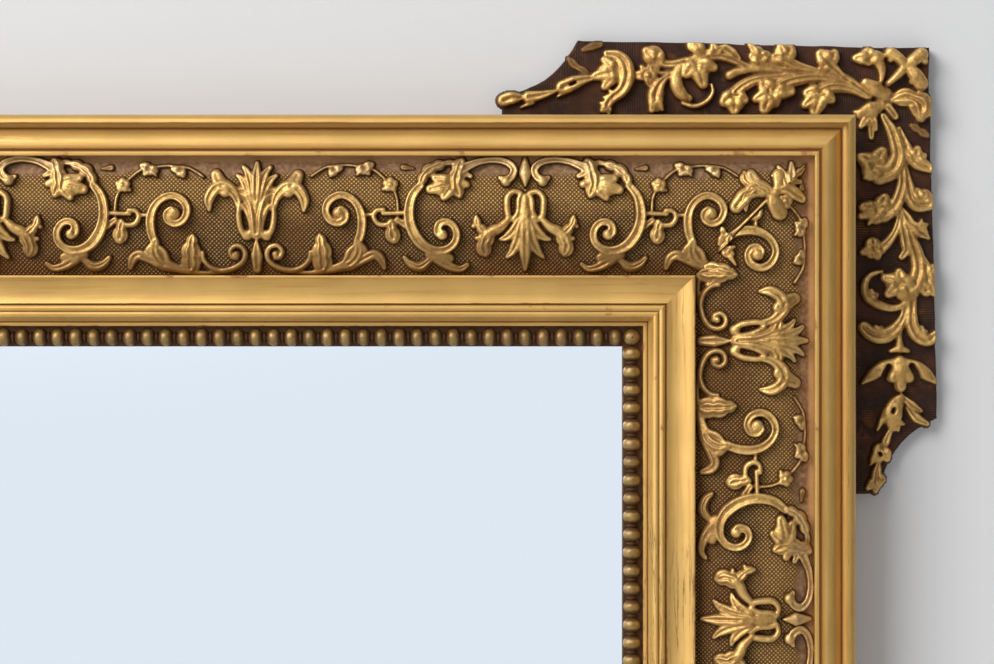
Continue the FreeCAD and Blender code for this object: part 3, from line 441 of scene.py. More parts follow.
class Relief:
    """Heights over a flat field, in millimetres."""

    def __init__(self, low, high, step, fullness=1.0, lift=1.0):
        self.fullness = fullness
        self.lift = lift
        self.across = np.arange(low[0], high[0] + step, step)
        self.up = np.arange(low[1], high[1] + step, step)
        self.low = low
        self.step = step
        self.height = np.full((len(self.up), len(self.across)), LOWEST)

    def window(self, line, reach):
        """The rows and columns of the field within a reach of a line."""
        low = line.min(axis=0) - reach
        high = line.max(axis=0) + reach
        left, right = np.searchsorted(self.across, (low[0], high[0]))
        below, above = np.searchsorted(self.up, (low[1], high[1]))
        return slice(below, above), slice(left, right)

    def nearest(self, line, widths, window, scallops=0):
        """At each point of a window: its distance from a line in widths, the share run there, the width."""
        x, z = np.meshgrid(self.across[window[1]], self.up[window[0]])
        steps = np.hypot(*np.diff(line, axis=0).T)
        shares = np.concatenate(([0], np.cumsum(steps))) / max(steps.sum(), 1e-9)
        half = spread_along(shares, widths)
        if scallops:
            half = half * (1 - SCALLOP * (0.5 + 0.5 * np.cos(2 * math.pi * scallops * shares)))
        best = np.full(x.shape, 1e9)
        share_at = np.zeros(x.shape)
        half_at = np.ones(x.shape)
        for number in range(len(line) - 1):
            start = line[number]
            way = line[number + 1] - start
            run = ((x - start[0]) * way[0] + (z - start[1]) * way[1]) / max(way @ way, 1e-9)
            run = np.clip(run, 0, 1)
            wide = half[number] + run * (half[number + 1] - half[number])
            q = np.hypot(x - start[0] - run * way[0], z - start[1] - run * way[1]) / wide
            closer = q < best
            best = np.where(closer, q, best)
            half_at = np.where(closer, wide, half_at)
            share = shares[number] + run * (shares[number + 1] - shares[number])
            share_at = np.where(closer, share, share_at)
        return best, share_at, half_at

    def stroke(self, points, widths, heights, top="round", scallops=0):
        """Lay a stroke along a smooth line, with half widths and heights spread along it."""
        line = curve_through(points, 7 + 2 * scallops)
        widths = self.fullness * np.array(widths)
        window = self.window(line, max(widths) + 2)
        q, share, half = self.nearest(line, widths, window, scallops)
        crest = self.lift * spread_along(share, heights)
        body = np.where(q < 1, crest * TOPS[top](q), -(q - 1) * half * SIDE_SLOPE)
        self.height[window] = np.maximum(self.height[window], body)

    def ball(self, centre, radius, height):
        self.stroke([centre, (centre[0] + 0.01, centre[1])], (radius, radius), (height, height))

    def cut(self, points, width):
        """Cut a slot down to the ground."""
        line = curve_through(points)
        window = self.window(line, width + 1)
        q, _, half = self.nearest(line, (width, width), window)
        slot = np.where(q < 1, LOWEST, (q - 1) * half * CUT_SLOPE)
        self.height[window] = np.minimum(self.height[window], slot)

    def lobes(self, foot, tips, height):
        """A leaf of long rounded lobes, (place, radius), that spread from a foot and rise outwards."""
        if len(tips) == 1:
            tips = trefoil(foot, *tips[0])
        middle = np.mean([tip[:2] for tip in tips], axis=0)
        spread = np.mean([tip[2] for tip in tips])
        self.stroke([foot, middle], (spread, 1.25 * spread), (0.68 * height, 0.84 * height), "pad")
        for x, z, radius in tips:
            way = np.array((x, z)) - foot
            point = np.array((x, z)) + way / max(np.hypot(*way), 1.0) * 0.75 * radius
            self.stroke([foot, (x, z), point], (0.7 * radius, 0.98 * radius, 0.62 * radius),
                        (0.66 * height, height, 0.80 * height), "leaf")

    def sampled(self, across, up):
        """Heights at any points, between those of the field."""
        column = np.clip((across - self.low[0]) / self.step, 0, len(self.across) - 1.001)
        row = np.clip((up - self.low[1]) / self.step, 0, len(self.up) - 1.001)
        return between(self.height, row, column)


def drawn(motifs, *field):
    """A relief over a field with motifs on it, slightly softened."""
    relief = Relief(*field)
    for motif in motifs:
        motif(relief)
    relief.height = softened(relief.height, 1)
    return relief


# One half repeat of the frieze, in millimetres: along from the outward palmette, out from the middle
HALF_CELL = 149.5


def outward_palmette(cast):
    cast.stroke([(0, 4), (0, 17), (0, 25.6), (0, 29.4)], (1.9, 2.9, 3.2, 1.4), (5.2, 6.8, 6.4, 4.6),
                "petal")
    cast.stroke([(1, 4), (2.9, 17), (5, 23.6), (7.4, 27)], (1.9, 2.6, 2.9, 1.4), (5.2, 6.4, 5.8, 4.4),
                "petal")
    cast.stroke([(2, 5), (5.2, 15), (8, 19.8), (10.8, 22.2)], (1.9, 2.5, 2.7, 1.3), (5.2, 5.8, 5.2, 4.2),
                "petal")
    cast.stroke([(0, -10), (0.6, 1), (3.6, 9.8), (8.8, 13.2), (12.2, 12)], (3.6, 4.6, 4.4, 4, 2.4),
                (5.6, 6.8, 6.2, 5.6, 4.2), "ribbed")
    cast.stroke([(9.2, 5.5), (9.8, 0), (8.7, -7.6), (5.6, -11.6), (2.9, -9), (3.6, -3), (6.6, 4.2),
                (9.2, 5.5)], (1.7, 1.8, 1.9, 2, 1.7, 1.6, 1.6, 1.7), (5, 5.2, 5.2, 4.8, 4.8, 5.2, 5.4, 5))
    cast.ball((5.4, -11.2), 3.2, 4.8)
    cast.stroke([(9.4, 3), (10.8, 9.4), (14.8, 14.6), (19.4, 16.2), (23.6, 13.8), (26.4, 8.6),
                (26.2, 2.8)], (1.8, 2.4, 3.3, 3.9, 3.4, 3, 1.3), (4.8, 5.2, 5.8, 6.4, 6.2, 5.6, 3.6),
                "petal")
    cast.stroke([(17.4, 13.5), (20.8, 18.6), (22.6, 22.6)], (3.6, 4, 3.2), (5.8, 6.2, 4.6), "leaf")
    cast.stroke([(0, -14.8), (0, -20), (0, -30)], (1.2, 3.4, 2.6), (3.8, 4.8, 3.6), "petal")


def inward_palmette(cast):
    axis = HALF_CELL
    cast.stroke([(axis, 31.5), (axis, 21), (axis, 16)], (1.6, 3.7, 0.9), (4.4, 5.6, 3.6))
    cast.stroke([(146.6, 12.4), (142.8, 13), (139.5, 9.6), (139.5, 3),
                (140.4, -2.5)], (1.8, 1.9, 2.1, 2.1, 2), (4.8, 5.2, 5.4, 5.4, 5.2))
    cast.stroke([(147.2, 12), (145.7, 8), (145.4, 2), (143, -2.8)], (1.7, 1.7, 1.7, 1.8),
                (4.8, 5.2, 5.4, 5.2))
    cast.stroke([(axis, 10.5), (149.2, 2), (axis, -7)], (2, 3.3, 3.2), (4.8, 5.8, 6.4))
    cast.stroke([(axis, -3), (axis, -16), (axis, -25), (axis, -30)], (3, 3.2, 3.4, 1.3),
                (6.4, 7, 5.8, 4.2), "petal")
    cast.stroke([(147.4, -4), (145.6, -13), (142.8, -19.6), (139.6, -23.2)], (2.2, 2.9, 3, 1.3),
                (6, 6.2, 5.4, 4.2), "petal")
    cast.stroke([(146.4, -3), (142.8, -9), (139, -12.4), (135.8, -13.4)], (2.3, 2.9, 2.7, 1.2),
                (5.6, 5.8, 5, 4), "petal")
    cast.stroke([(141, -1.5), (136, -6.6), (131.4, -9), (128.6, -11.4)], (1.9, 2.6, 3.2, 3.4),
                (5.2, 5.6, 6, 6))
    cast.stroke([(129.6, -10), (126.8, -16.4), (127.8, -21.4)], (3.6, 5.2, 3.2), (6, 6.4, 4.4), "ribbed", 2)
    cast.stroke([(127.8, -10), (123.4, -5.2), (122.4, -0.8)], (3.2, 2.9, 2.1), (5.8, 5.8, 4.8), "ribbed", 2)
    cast.ball((120.8, -6.2), 1.5, 4)
    cast.ball((122.8, -12.8), 1.5, 4)


def small_scroll(cast):
    cast.stroke([(56.2, -15.4), (58.2, -9.8), (58.8, -2.5), (57.1, 4.2), (53.2, 9), (48.2, 11.2),
                (43.6, 10.2), (39.8, 6.8), (38.7, 2), (41, -2.8), (45.4, -4.6), (49.2, -2.6), (49.6, 0.8),
                (47.4, 2.6)], (2.4, 2.5, 2.6, 2.5, 2.3, 2.2, 2.2, 2.3, 2.3, 2.2, 2.1, 2, 2.1, 2.6),
                (5.2, 5.4, 5.6, 5.6, 5.4, 5.4, 5.4, 5.4, 5.4, 5.2, 5.2, 5.2, 5.4, 5.8), "band")
    cast.ball((45.8, 1.2), 3.5, 5.8)
    cast.stroke([(36.6, -29.4), (36.4, -22), (36, -16), (35.2, -10.6)], (4.8, 6, 4.6, 1.7),
                (4.8, 6.2, 6.6, 4.6), "ribbed", 3)
    cast.stroke([(56.2, -14.6), (56.6, -21), (53, -26.4), (46, -29.4)], (2.4, 3.8, 3.6, 2.4),
                (5.2, 5.8, 5.2, 4.2), "ribbed")
    cast.stroke([(57, -16), (59.8, -19.4)], (2.2, 2.4), (5.2, 5.2), "pad")
    cast.stroke([(54.4, -17), (50.8, -20.5), (48.4, -26), (42.5, -28.8)], (1.3, 1.6, 1.7, 1.5),
                (4.8, 4.8, 4.6, 4))
    cast.stroke([(55, -27), (61, -23.8), (65.4, -22), (69, -24.2),
                (70.8, -29.2)], (2.4, 2.5, 2.9, 2.7, 1.6), (4.6, 5, 5.4, 4.8, 3.2), "petal")
    cast.stroke([(19.6, -31.4), (30, -31.8), (41, -30.6), (49.6, -28)], (1.2, 1.6, 1.9, 2.4),
                (3, 3.6, 4, 4.6))


def lower_scroll(cast):
    cast.stroke([(29.8, -20.4), (29.2, -24.4), (25.6, -28.4), (19.6, -30.4), (12.8, -29), (7.6, -25.6),
                (6, -21), (7.8, -17.4), (11.6, -16.6), (14.4, -19.4), (13.4, -22.8),
                (10.8, -23.2)], (1.4, 1.6, 1.7, 1.8, 1.8, 1.8, 1.7, 1.7, 1.6, 1.6, 1.5, 1.6),
                (4.2, 4.4, 4.6, 4.6, 4.8, 4.8, 4.8, 5, 5, 5, 5.2, 5.6))
    cast.ball((10.8, -21.4), 2.2, 5.8)


def link(cast):
    cast.stroke([(58.8, 0.2), (66, 0.2)], (1.4, 1.4), (3.8, 3.8))
    cast.stroke([(70.8, 2.9), (67, 2.4), (65.2, -0.8), (67.6, -4.8), (72.2, -5.4),
                (75.2, -3)], (1.6, 1.6, 1.7, 1.7, 1.6, 1.4), (4.6, 4.6, 4.6, 4.6, 4.6, 4.2))
    cast.stroke([(70.4, 0.8), (85, 1.3)], (1.5, 1.5), (4.2, 4.6))
    cast.stroke([(74.6, -3.6), (75.4, -9), (76.2, -13)], (2.4, 3.8, 4.8), (4.6, 5.2, 4.2), "ribbed", 2)
    cast.stroke([(78.4, -2.6), (83, -5.9)], (1.8, 2.2), (4.2, 3.8), "petal")


def tendril(cast):
    cast.stroke([(30.4, 22), (35.3, 25.3), (40, 27.4), (49.3, 28.2), (56, 27.6)], (1, 1), (3, 3))
    cast.lobes((43, 25.8), [(42.4, 24.6, 2.7), (45.4, 26, 2.4), (41.6, 22.4, 1.3)], 4.4)
    cast.lobes((60.2, 26.6), [(58.6, 26, 2.9), (62, 27.4, 3), (61.4, 24.8, 2.4), (56.6, 23, 1.3)], 4.8)
    cast.stroke([(64, 26), (67, 24.2), (71.2, 20.4)], (1.1, 1.1), (3.2, 3.2))
    for petal in range(5):
        angle = 2 * math.pi * petal / 5 + 0.3
        cast.stroke([(74.5, 17), (74.5 + 2.4 * math.cos(angle), 17 + 2.3 * math.sin(angle))], (1.8, 2.2),
                    (4.8, 4.8), "pad")
    cast.ball((74.5, 17), 1.5, 5.8)
    cast.ball((70.6, 14.4), 1.5, 3.6)
    cast.stroke([(76.8, 13), (78.2, 8.4), (78.6, 2.4)], (1.1, 1.1, 1.2), (3.4, 3.2, 3.4))
    cast.stroke([(81.4, 27), (87, 26.4)], (1.8, 0.9), (2.6, 1.8), "petal")


def large_scroll(cast):
    cast.stroke([(91, 17), (86.8, 11.4), (85, 4.8), (85, -2.5), (87.4, -9.8), (92, -16), (98, -19.3),
                (104.7, -19.3), (109.8, -15.8), (111.4, -10.4), (109.4, -5.6), (105.4, -3.4),
                (101.6, -4.9), (100.9, -8.8), (103, -10.8)], (2.2, 2.6, 2.8, 2.9, 3, 3.2, 3.2, 2.8, 2.5,
                2.3, 2.2, 2.1, 2.1, 2.3, 2.8), (5.2, 5.6, 5.8, 5.8, 5.8, 5.8, 5.8, 5.6, 5.4, 5.4, 5.4, 5.4,
                5.4, 5.6, 5.8), "band")
    cast.ball((103.4, -10.6), 3, 6)
    cast.stroke([(90.8, 17.4), (93.2, 23), (98, 27), (104.7, 29.6),
                (110.3, 30.6)], (2.2, 3.6, 3.7, 2.6, 1.4), (5.2, 6, 5.6, 4.6, 3.4), "ribbed", 4)
    cast.stroke([(82.3, -23.6), (85.7, -27.2), (91.3, -28.6), (97, -24.4)], (1.5, 2.6, 2.9, 1.9),
                (3.8, 4.8, 5, 4.4), "ribbed")
    cast.stroke([(96, -21.6), (100.6, -24), (102.4, -26)], (2.6, 3.2, 2.6), (4.6, 4.8, 4.4))
    cast.stroke([(101, -24.6), (108, -28.4), (113.7, -29.6), (117.6, -27.2)], (2.8, 2.8, 2.2, 1.5),
                (4.6, 4.8, 4.4, 3.4), "petal")
    cast.stroke([(103, -22.6), (107.6, -23.6)], (2.4, 2.6), (4.6, 4.4), "pad")


def hanging_acanthus(cast):
    cast.stroke([(113.7, 31), (111.6, 24.6), (110.6, 17.6), (112.6, 11.4)], (3.6, 4.8, 4.8, 3),
                (5.2, 6.2, 6.6, 5), "ribbed", 3)
    cast.lobes((110, 18), [(99.6, 15.4, 4.4), (102, 20.2, 4), (105.6, 12.4, 3.6)], 6.4)
    cast.stroke([(112, 20), (116.6, 17.6)], (2.6, 2.2), (5.6, 4.8), "pad")
    cast.stroke([(113, 25), (118.8, 22.4)], (2.4, 1.6), (5.2, 4.2), "petal")
    cast.stroke([(113.6, 26), (119.3, 29), (124.9, 31), (133.3, 31.8), (140, 30.2), (143.6, 26.4),
                (142.2, 22.1), (138.6, 20.2), (135.6, 21.6)], (2.8, 2.4, 2, 1.8, 2, 2.1, 2.2, 2.3, 1.4),
                (5.4, 5.2, 4.8, 4.6, 4.8, 5, 5.2, 5.2, 4.2), "band")
    cast.ball((139, 19.6), 3.2, 5.2)


# Leaves over the frieze's mitres: across and up from the middle of the mitre at the top right
def corner_sprig(sprig):
    sprig.stroke([(9, 12.6), (2, 15.4), (-4.4, 19.4), (-5.8, 24.4)], (2.8, 4.4, 4.6, 2.2),
                 (5.6, 6.4, 6, 3.8), "ribbed", 3)
    sprig.stroke([(6, 13), (-3.6, 12.4), (-8.4, 7.8), (-10.8, 4.8)], (2.2, 3.2, 4.6, 3.8),
                 (5.4, 6.2, 6.4, 5.4), "petal")
    sprig.stroke([(9.2, 11.5), (11.4, 6.2), (13.6, 1.8)], (2.4, 4.6, 4.6), (5.4, 6.4, 5.8), "pad")
    sprig.stroke([(12, 14), (13, 18.6), (13.4, 22.8)], (2, 3, 3.8), (5.2, 5.8, 5.4), "pad")
    sprig.stroke([(12.6, 13.6), (18.2, 14.8), (22.4, 12.4), (26.8, 9.4)], (2, 3.4, 3.8, 2.6),
                 (5.2, 6.2, 6, 4.4), "petal")
    sprig.stroke([(13, 15), (20, 20.6), (27.6, 26.4)], (1.8, 3.2, 2), (5, 5.6, 3.6), "ribbed", 3)
    sprig.stroke([(21, 19), (25.6, 19)], (2.2, 1.6), (4.6, 3.4), "petal")
    sprig.ball((11.2, 13), 3.6, 5.6)
    sprig.stroke([(8.4, 10.6), (0, 2), (-7.3, -5.3), (-14, -12.6),
                 (-18.5, -19.6)], (1.4, 1.3, 1.3, 1.4, 1.2), (3.8, 3.4, 3.4, 3.4, 3))
    sprig.stroke([(-6, -4), (-12.6, -9.4), (-18.6, -11.4)], (1.1, 1.3, 1), (3.2, 3.4, 3))
    sprig.lobes((-17.6, -10), [(-18.2, -8.4, 2), (-19.4, -14.6, 2.3), (-15, -11.4, 1.6)], 4.6)
    sprig.lobes((-17, -19), [(-16.6, -20.6, 2.6), (-12.6, -17.8, 1.7), (-11.8, -26.4, 1.8)], 4.4)
    sprig.stroke([(-27.4, -28.6), (-20.8, -29.8), (-14, -31.6)], (2.8, 4.6, 3.2), (5, 6.4, 5), "petal", 2)
    sprig.stroke([(-21, -32), (-26, -38.6)], (3, 2), (5.4, 4), "ribbed")


# Vine of an ear, drawn on a small square grid: squares right of and above the corner of the
# moulding's edge. The first square starts a little outside that edge.
SQUARE = 0.574
VINE_START = (4.1, 2.5)


def vine_across(vine):
    """The arm that runs along the top."""
    vine.stroke([(15, 19), (-3, 33), (-17, 39), (-37, 42), (-65, 44), (-87, 47), (-107, 49), (-120, 55),
                (-133, 59), (-147, 58), (-165, 55), (-183, 51), (-193, 53),
                (-200, 58)], (3, 3.6, 4.2, 4.4, 4.2, 3.8, 3.4, 3.2, 3.2, 3.6, 3.8, 3.4, 3.6, 4),
                (5.2, 5.4, 5.4, 5.4, 5.4, 5.2, 5.2, 5.2, 5.2, 5.4, 5.4, 5.2, 5.6, 6.2), "ribbed")
    vine.stroke([(13, 18), (0, 25), (-13, 28.5), (-25, 28), (-35, 23)], (2.4, 3.4, 4.4, 5, 5.4),
                (5, 5.8, 6.4, 7, 7.8), "ribbed")
    vine.lobes((-34, 22), [(-46, 13, 5.5), (-38, 9, 7), (-27, 18, 5.8), (-42, 22, 6.5)], 8.6)
    vine.stroke([(-13, 35), (-35, 38), (-55, 36.5), (-70, 32), (-81, 25)], (2.4, 3.6, 4.6, 5.2, 5.6),
                (5.2, 5.8, 6.4, 7, 7.8), "ribbed")
    vine.lobes((-83, 24), [(-95, 18, 5.2), (-88, 11, 7), (-81, 17, 6.5), (-69, 24, 6.4), (-87, 27, 7)], 8.6)
    vine.stroke([(-55, 40), (-80, 38), (-100, 35), (-112, 29), (-119, 23)], (2, 3.2, 3.8, 4.4, 4.8),
                (5.2, 5.6, 6.2, 6.8, 7.6), "ribbed")
    vine.lobes((-120, 20), [(-126, 16, 6.6), (-120, 10, 6.6), (-114, 17, 5.6)], 8.4)
    vine.stroke([(-73, 44), (-98, 46), (-116, 44), (-125, 40)], (1.8, 2.6, 3, 3.6), (5.2, 5.8, 6.2, 6.6))
    vine.stroke([(-5, 33), (-15, 42), (-25, 51)], (2, 3, 4.4), (5, 5.8, 6.8), "petal")
    vine.lobes((-25, 52), [(-30, 57, 6.8), (-22, 58, 5.6), (-29, 50, 5)], 8)
    vine.stroke([(-17, 40), (-40, 45), (-58, 50), (-68, 55)], (1.6, 2.4, 3.2, 4.4), (5, 5.6, 6, 6.8),
                "petal")
    vine.lobes((-68, 57), [(-75, 58, 5.6), (-66, 62, 6), (-73, 66, 4.6)], 8)
    vine.stroke([(-70, 48), (-83, 52), (-93, 57)], (1.8, 3, 5), (5.2, 5.8, 6.6), "petal")
    vine.lobes((-94, 57), [(-98, 58, 5.6), (-90, 59, 4.6), (-103, 68, 3.6), (-100, 63, 3.6)], 7.6)
    vine.stroke([(-116, 57), (-122, 62), (-129, 67)], (2.4, 3.8, 3.6), (5.2, 6.2, 5.4), "petal")
    vine.lobes((-139, 61), [(-141, 68, 5)], 6.6)
    vine.lobes((-152, 60), [(-158, 69, 5.4), (-164, 71, 3)], 6.6)
    vine.lobes((-158, 53), [(-165, 45, 6.2), (-153, 36, 6.4), (-145, 49, 5.6), (-158, 51, 7),
               (-157, 42, 5.6)], 8.6)
    vine.stroke([(-172, 51), (-178, 41), (-178, 30), (-172, 20), (-165, 17)], (2.2, 4.2, 5, 4.8, 2.8),
                (5.4, 6.8, 7.6, 7.6, 6))
    vine.stroke([(-172, 12), (-160, 9), (-148, 14), (-142, 23), (-143, 31)], (1.8, 2.2, 2.2, 2, 1.6),
                (4.8, 5.2, 5.2, 5, 4.6))
    vine.lobes((-198, 54), [(-205, 61, 5.8), (-198, 57, 6.4)], 7.8)
    vine.stroke([(-175, 45), (-187, 43), (-199, 42)], (1.6, 1.8, 1.8), (4.6, 4.6))
    vine.lobes((-207, 40), [(-217, 40, 4.4), (-212, 47, 3), (-205, 49, 3), (-199, 44, 3), (-200, 36, 4),
               (-206, 33, 3.4)], 6.2)
    vine.ball((-207, 40), 3.2, 7)
    vine.stroke([(-181, 41), (-187, 39), (-195, 31), (-199, 21), (-200, 13)], (1.8, 2.4, 4.2, 6, 5.2),
                (5, 5.6, 6.6, 7.6, 7), "petal")
    vine.lobes((-199, 20), [(-199, 16, 6), (-202, 8, 4.2), (-193, 7, 2.6)], 7.4)
    vine.stroke([(-248, 62), (-236, 59), (-229, 50), (-228, 37), (-233, 25), (-243, 17),
                (-250, 7)], (2.8, 4.2, 5.6, 5.8, 4.8, 4.2, 3.8), (5.2, 6.8, 8, 8.2, 7.6, 6.8, 5.6), "petal")
    vine.lobes((-237, 44), [(-248, 53, 4.6), (-255, 40, 5.6), (-248, 31, 4.8), (-242, 43, 8)], 8.8)
    vine.lobes((-240, 19), [(-249, 18, 3.2)], 6.6)
    vine.lobes((-246, 10), [(-251, 6, 4.2)], 6.6)
    vine.stroke([(-257, 38), (-270, 36), (-282, 32), (-292, 28)], (1.8, 3.4, 5.2, 5.2), (5, 6.2, 7, 5.8),
                "petal")
    vine.stroke([(-284, 26), (-297, 19)], (2.6, 1.4), (5.6, 4))
    vine.cut([(-280, 33), (-284, 31)], 0.5)
    vine.stroke([(-300, 24), (-314, 20), (-326, 18)], (1.8, 3.4, 4.6), (4.8, 6, 6.4), "petal")
    vine.stroke([(-322, 13), (-334, 8)], (2.4, 1.3), (5.4, 4))
    vine.stroke([(-334, 18), (-345, 17), (-351, 15)], (2.6, 4.8, 4.8), (5, 6.4, 5.6), "petal")
    vine.stroke([(-265, 42), (-278, 49), (-286, 57)], (2, 3.6, 2.6), (3.2, 3.6, 2.6), "petal", 2)
    vine.stroke([(-254, 71), (-263, 69), (-271, 66)], (2.2, 3, 1.8), (2.4, 2.8, 1.8), "petal")


def vine_corner(vine):
    """The crossing of both arms."""
    for middle, tip, widths in (((44, 57), (36, 62), (3.6, 3.8, 4.4)), ((60, 56), (67, 61),
                                (3.8, 4.4, 4.8)), ((60, 41), (66, 32), (3.8, 5, 5.4)), ((43, 40), (34, 32),
                                (3.6, 3, 2.2))):
        vine.stroke([(51, 49), middle, tip], widths, (8.4, 9.6, 9), "pad")
    for place, radius in (((36, 56), 2.6), ((70, 54), 2.8), ((58, 34), 3)):
        vine.ball(place, radius, 7.6)
    vine.lobes((15, 57), [(5, 57, 5), (14, 60, 5.4), (22, 58, 5.4)], 8)
    vine.stroke([(22, 57), (27, 47), (27, 37), (25, 30)], (4.6, 3.8, 2.6, 2), (7.4, 6.4, 5.4, 4.8))
    vine.ball((30, 20), 6.8, 5.2)
    vine.stroke([(11, 33), (20, 27), (29, 20)], (3.2, 5.6, 4.2), (7, 7.4, 5.4), "pad")
    vine.stroke([(38, 15), (53, 18), (66, 11), (66, -2)], (4, 7.2, 9, 6), (5.4, 7.6, 8.6, 6.8), "ribbed", 2)
    vine.lobes((67, 9), [(75, 2, 4.6)], 7.8)
    vine.stroke([(27, 10), (18, 6), (6, 1)], (3.8, 5.8, 4), (5.6, 7.2, 6.2), "pad")
    vine.lobes((17, 2), [(8, -9, 5)], 7)
    vine.stroke([(20, 2), (17, -11), (17, -22)], (3, 2.9, 2.4), (6, 6, 4.8), "petal")
    vine.stroke([(34, 8), (41, -1)], (3.4, 3), (5.6, 5), "petal")
    vine.stroke([(58, -10), (73, -20)], (3, 3.4), (2.8, 3), "petal", 2)


def vine_down(vine):
    """The arm that runs down the side."""
    vine.stroke([(29, -1), (37, -15), (42, -30), (43, -43), (37, -55),
                (25, -60)], (2.6, 4.2, 5.2, 6, 6.8, 7), (5.4, 6.2, 6.8, 7.2, 7.6, 8), "petal")
    vine.lobes((20, -50), [(11, -45, 6.6), (25, -41, 6.6), (18, -54, 8), (11, -61, 2.8)], 8.8)
    vine.stroke([(47, -40), (48, -65), (45, -80), (39, -92), (29, -99)], (2, 3.4, 4.4, 5.2, 6.2),
                (5.2, 6, 6.6, 7.2, 7.8), "petal")
    vine.lobes((24, -95), [(28, -87, 6.2), (13, -93, 6.2), (22, -98, 7.6), (9, -100, 4.4),
               (15, -107, 2.8)], 8.8)
    vine.stroke([(46, -94), (42, -113), (35, -125), (26, -134)], (1.8, 2.6, 3.4, 4.4),
                (5.2, 5.8, 6.6, 7.4), "petal")
    vine.lobes((21, -133), [(19, -131, 6.2), (11, -136, 4.4), (22, -138, 4.8)], 8.2)
    vine.stroke([(45, -13), (50, -27), (56, -40), (65, -48), (75, -53)], (1.8, 3.2, 4.8, 5.8, 3.8),
                (5, 5.8, 6.6, 7.2, 6), "petal")
    vine.lobes((60, -44), [(62, -37, 6.2)], 8)
    vine.stroke([(51, -50), (54, -69), (57, -82), (64, -89), (74, -89)], (1.8, 3.2, 4.8, 6.2, 4.8),
                (5, 5.8, 6.6, 7.4, 6.6), "petal")
    vine.lobes((66, -86), [(64, -80, 5.2), (75, -83, 4)], 8)
    vine.stroke([(48, -93), (54, -105), (63, -113), (74, -123)], (2, 4.2, 5.6, 2.8), (5.2, 6.2, 6.8, 5),
                "petal", 2)
    vine.lobes((65, -112), [(71, -110, 3.4)], 6.6)
    vine.stroke([(47, -104), (51, -125), (52, -135), (47, -142)], (1.8, 4.2, 4.4, 2.6),
                (5.2, 6.6, 6.8, 5.4), "petal")
    vine.stroke([(50, -106), (58, -127), (63, -143), (64, -157), (59, -170),
                (49, -177)], (2.2, 4, 5.2, 5.8, 6.6, 6.6), (5.2, 6, 6.6, 7, 7.4, 7.8), "petal")
    vine.lobes((46, -168), [(45, -161, 5.4), (34, -164, 5.4), (48, -169, 8.4), (37, -176, 5.6)], 8.8)
    vine.stroke([(65, -137), (71, -153), (73, -165), (72, -175)], (2, 4, 6, 5), (5, 6.2, 7.2, 6.2), "petal")
    vine.lobes((72, -162), [(67, -172, 4), (78, -176, 4), (79, -152, 3.4)], 7.2)
    vine.stroke([(28, -156), (16, -160), (10, -170), (13, -182), (25, -190), (40, -193), (53, -187),
                (62, -179)], (1.6, 2.6, 3.4, 3.8, 3.6, 3, 2.6, 2.4), (4.8, 5.8, 6.6, 7, 6.6, 6.2, 5.8, 5.6))
    vine.lobes((15, -182), [(18, -181, 4.8)], 7.2)
    vine.stroke([(58, -180), (57, -200), (58, -212), (65, -222), (74, -225),
                (82, -219)], (3.6, 4, 4.8, 5.4, 4.8, 3.4), (5.6, 6, 6.6, 7.2, 6.8, 6), "petal")
    vine.lobes((66, -219), [(67, -214, 3.8)], 7.2)
    vine.stroke([(51, -188), (48, -203), (40, -215), (28, -221), (16, -218),
                (9, -212)], (1.8, 3, 4.8, 5.8, 5.8, 4.6), (5.2, 6, 6.8, 7.4, 7.6, 7.4), "petal")
    vine.lobes((24, -217), [(22, -213, 3.8)], 7.4)
    vine.stroke([(47, -208), (45, -225), (45, -233)], (1.4, 2, 3.8), (4.8, 5.6, 6.2))
    vine.stroke([(36, -236), (45, -234), (54, -236)], (2, 3.4, 2), (5, 6.2, 5))
    for way in (-1, 1):
        vine.stroke([(45 + 4 * way, -249), (45 + 19 * way, -254), (45 + 31 * way, -263),
                    (45 + 37 * way, -268)], (4.6, 5.2, 4.4, 1.6), (8, 8.4, 7.6, 5.2), "pad")
    vine.stroke([(45, -248), (45, -259)], (5.4, 7.6), (8.6, 9.6), "pad")
    vine.stroke([(45, -258), (45.5, -271)], (5, 4.4), (10, 9.6), "pad")
    for way in (-1, 1):
        vine.stroke([(45, -254), (45.5 + 8 * way, -262)], (5, 4.4), (9.4, 9.4), "pad")
    vine.cut([(34, -252), (30, -260), (28, -270)], 1.8)
    vine.cut([(57, -251), (62, -260), (63, -269)], 1.8)
    vine.stroke([(47, -281), (41, -290), (38, -300), (39, -310)], (2.4, 5.6, 7.2, 5), (5.6, 7.2, 7.6, 6),
                "pad")
    vine.stroke([(32, -297), (27, -307), (23, -315)], (3.6, 2.8, 1.6), (6.2, 5.6, 4.2))
    vine.lobes((41, -306), [(43, -313, 3.8)], 6.4)
    vine.cut([(39, -294), (38, -297)], 0.4)
    vine.stroke([(49, -282), (57, -290), (67, -296)], (1.8, 3.6, 1.8), (5, 6.2, 4.4), "petal")
    vine.stroke([(53, -293), (62, -303), (73, -309)], (1.8, 3.8, 2.2), (4.8, 6, 4.4), "petal")
    vine.stroke([(36, -315), (31, -327)], (2.2, 3.4), (5.2, 6.2), "petal")
    vine.lobes((28, -333), [(20, -343, 4.2), (31, -340, 5), (25, -335, 5.2), (17, -348, 2.2)], 7)
    vine.cut([(25, -338), (26, -340)], 0.4)
    vine.stroke([(24, -349), (22, -359), (22, -367)], (2.2, 3.8, 5), (5, 6.2, 6.6), "petal")
    vine.lobes((22, -363), [(15, -371, 3.6), (25, -364, 4.4), (21, -374, 3.4)], 6.8)


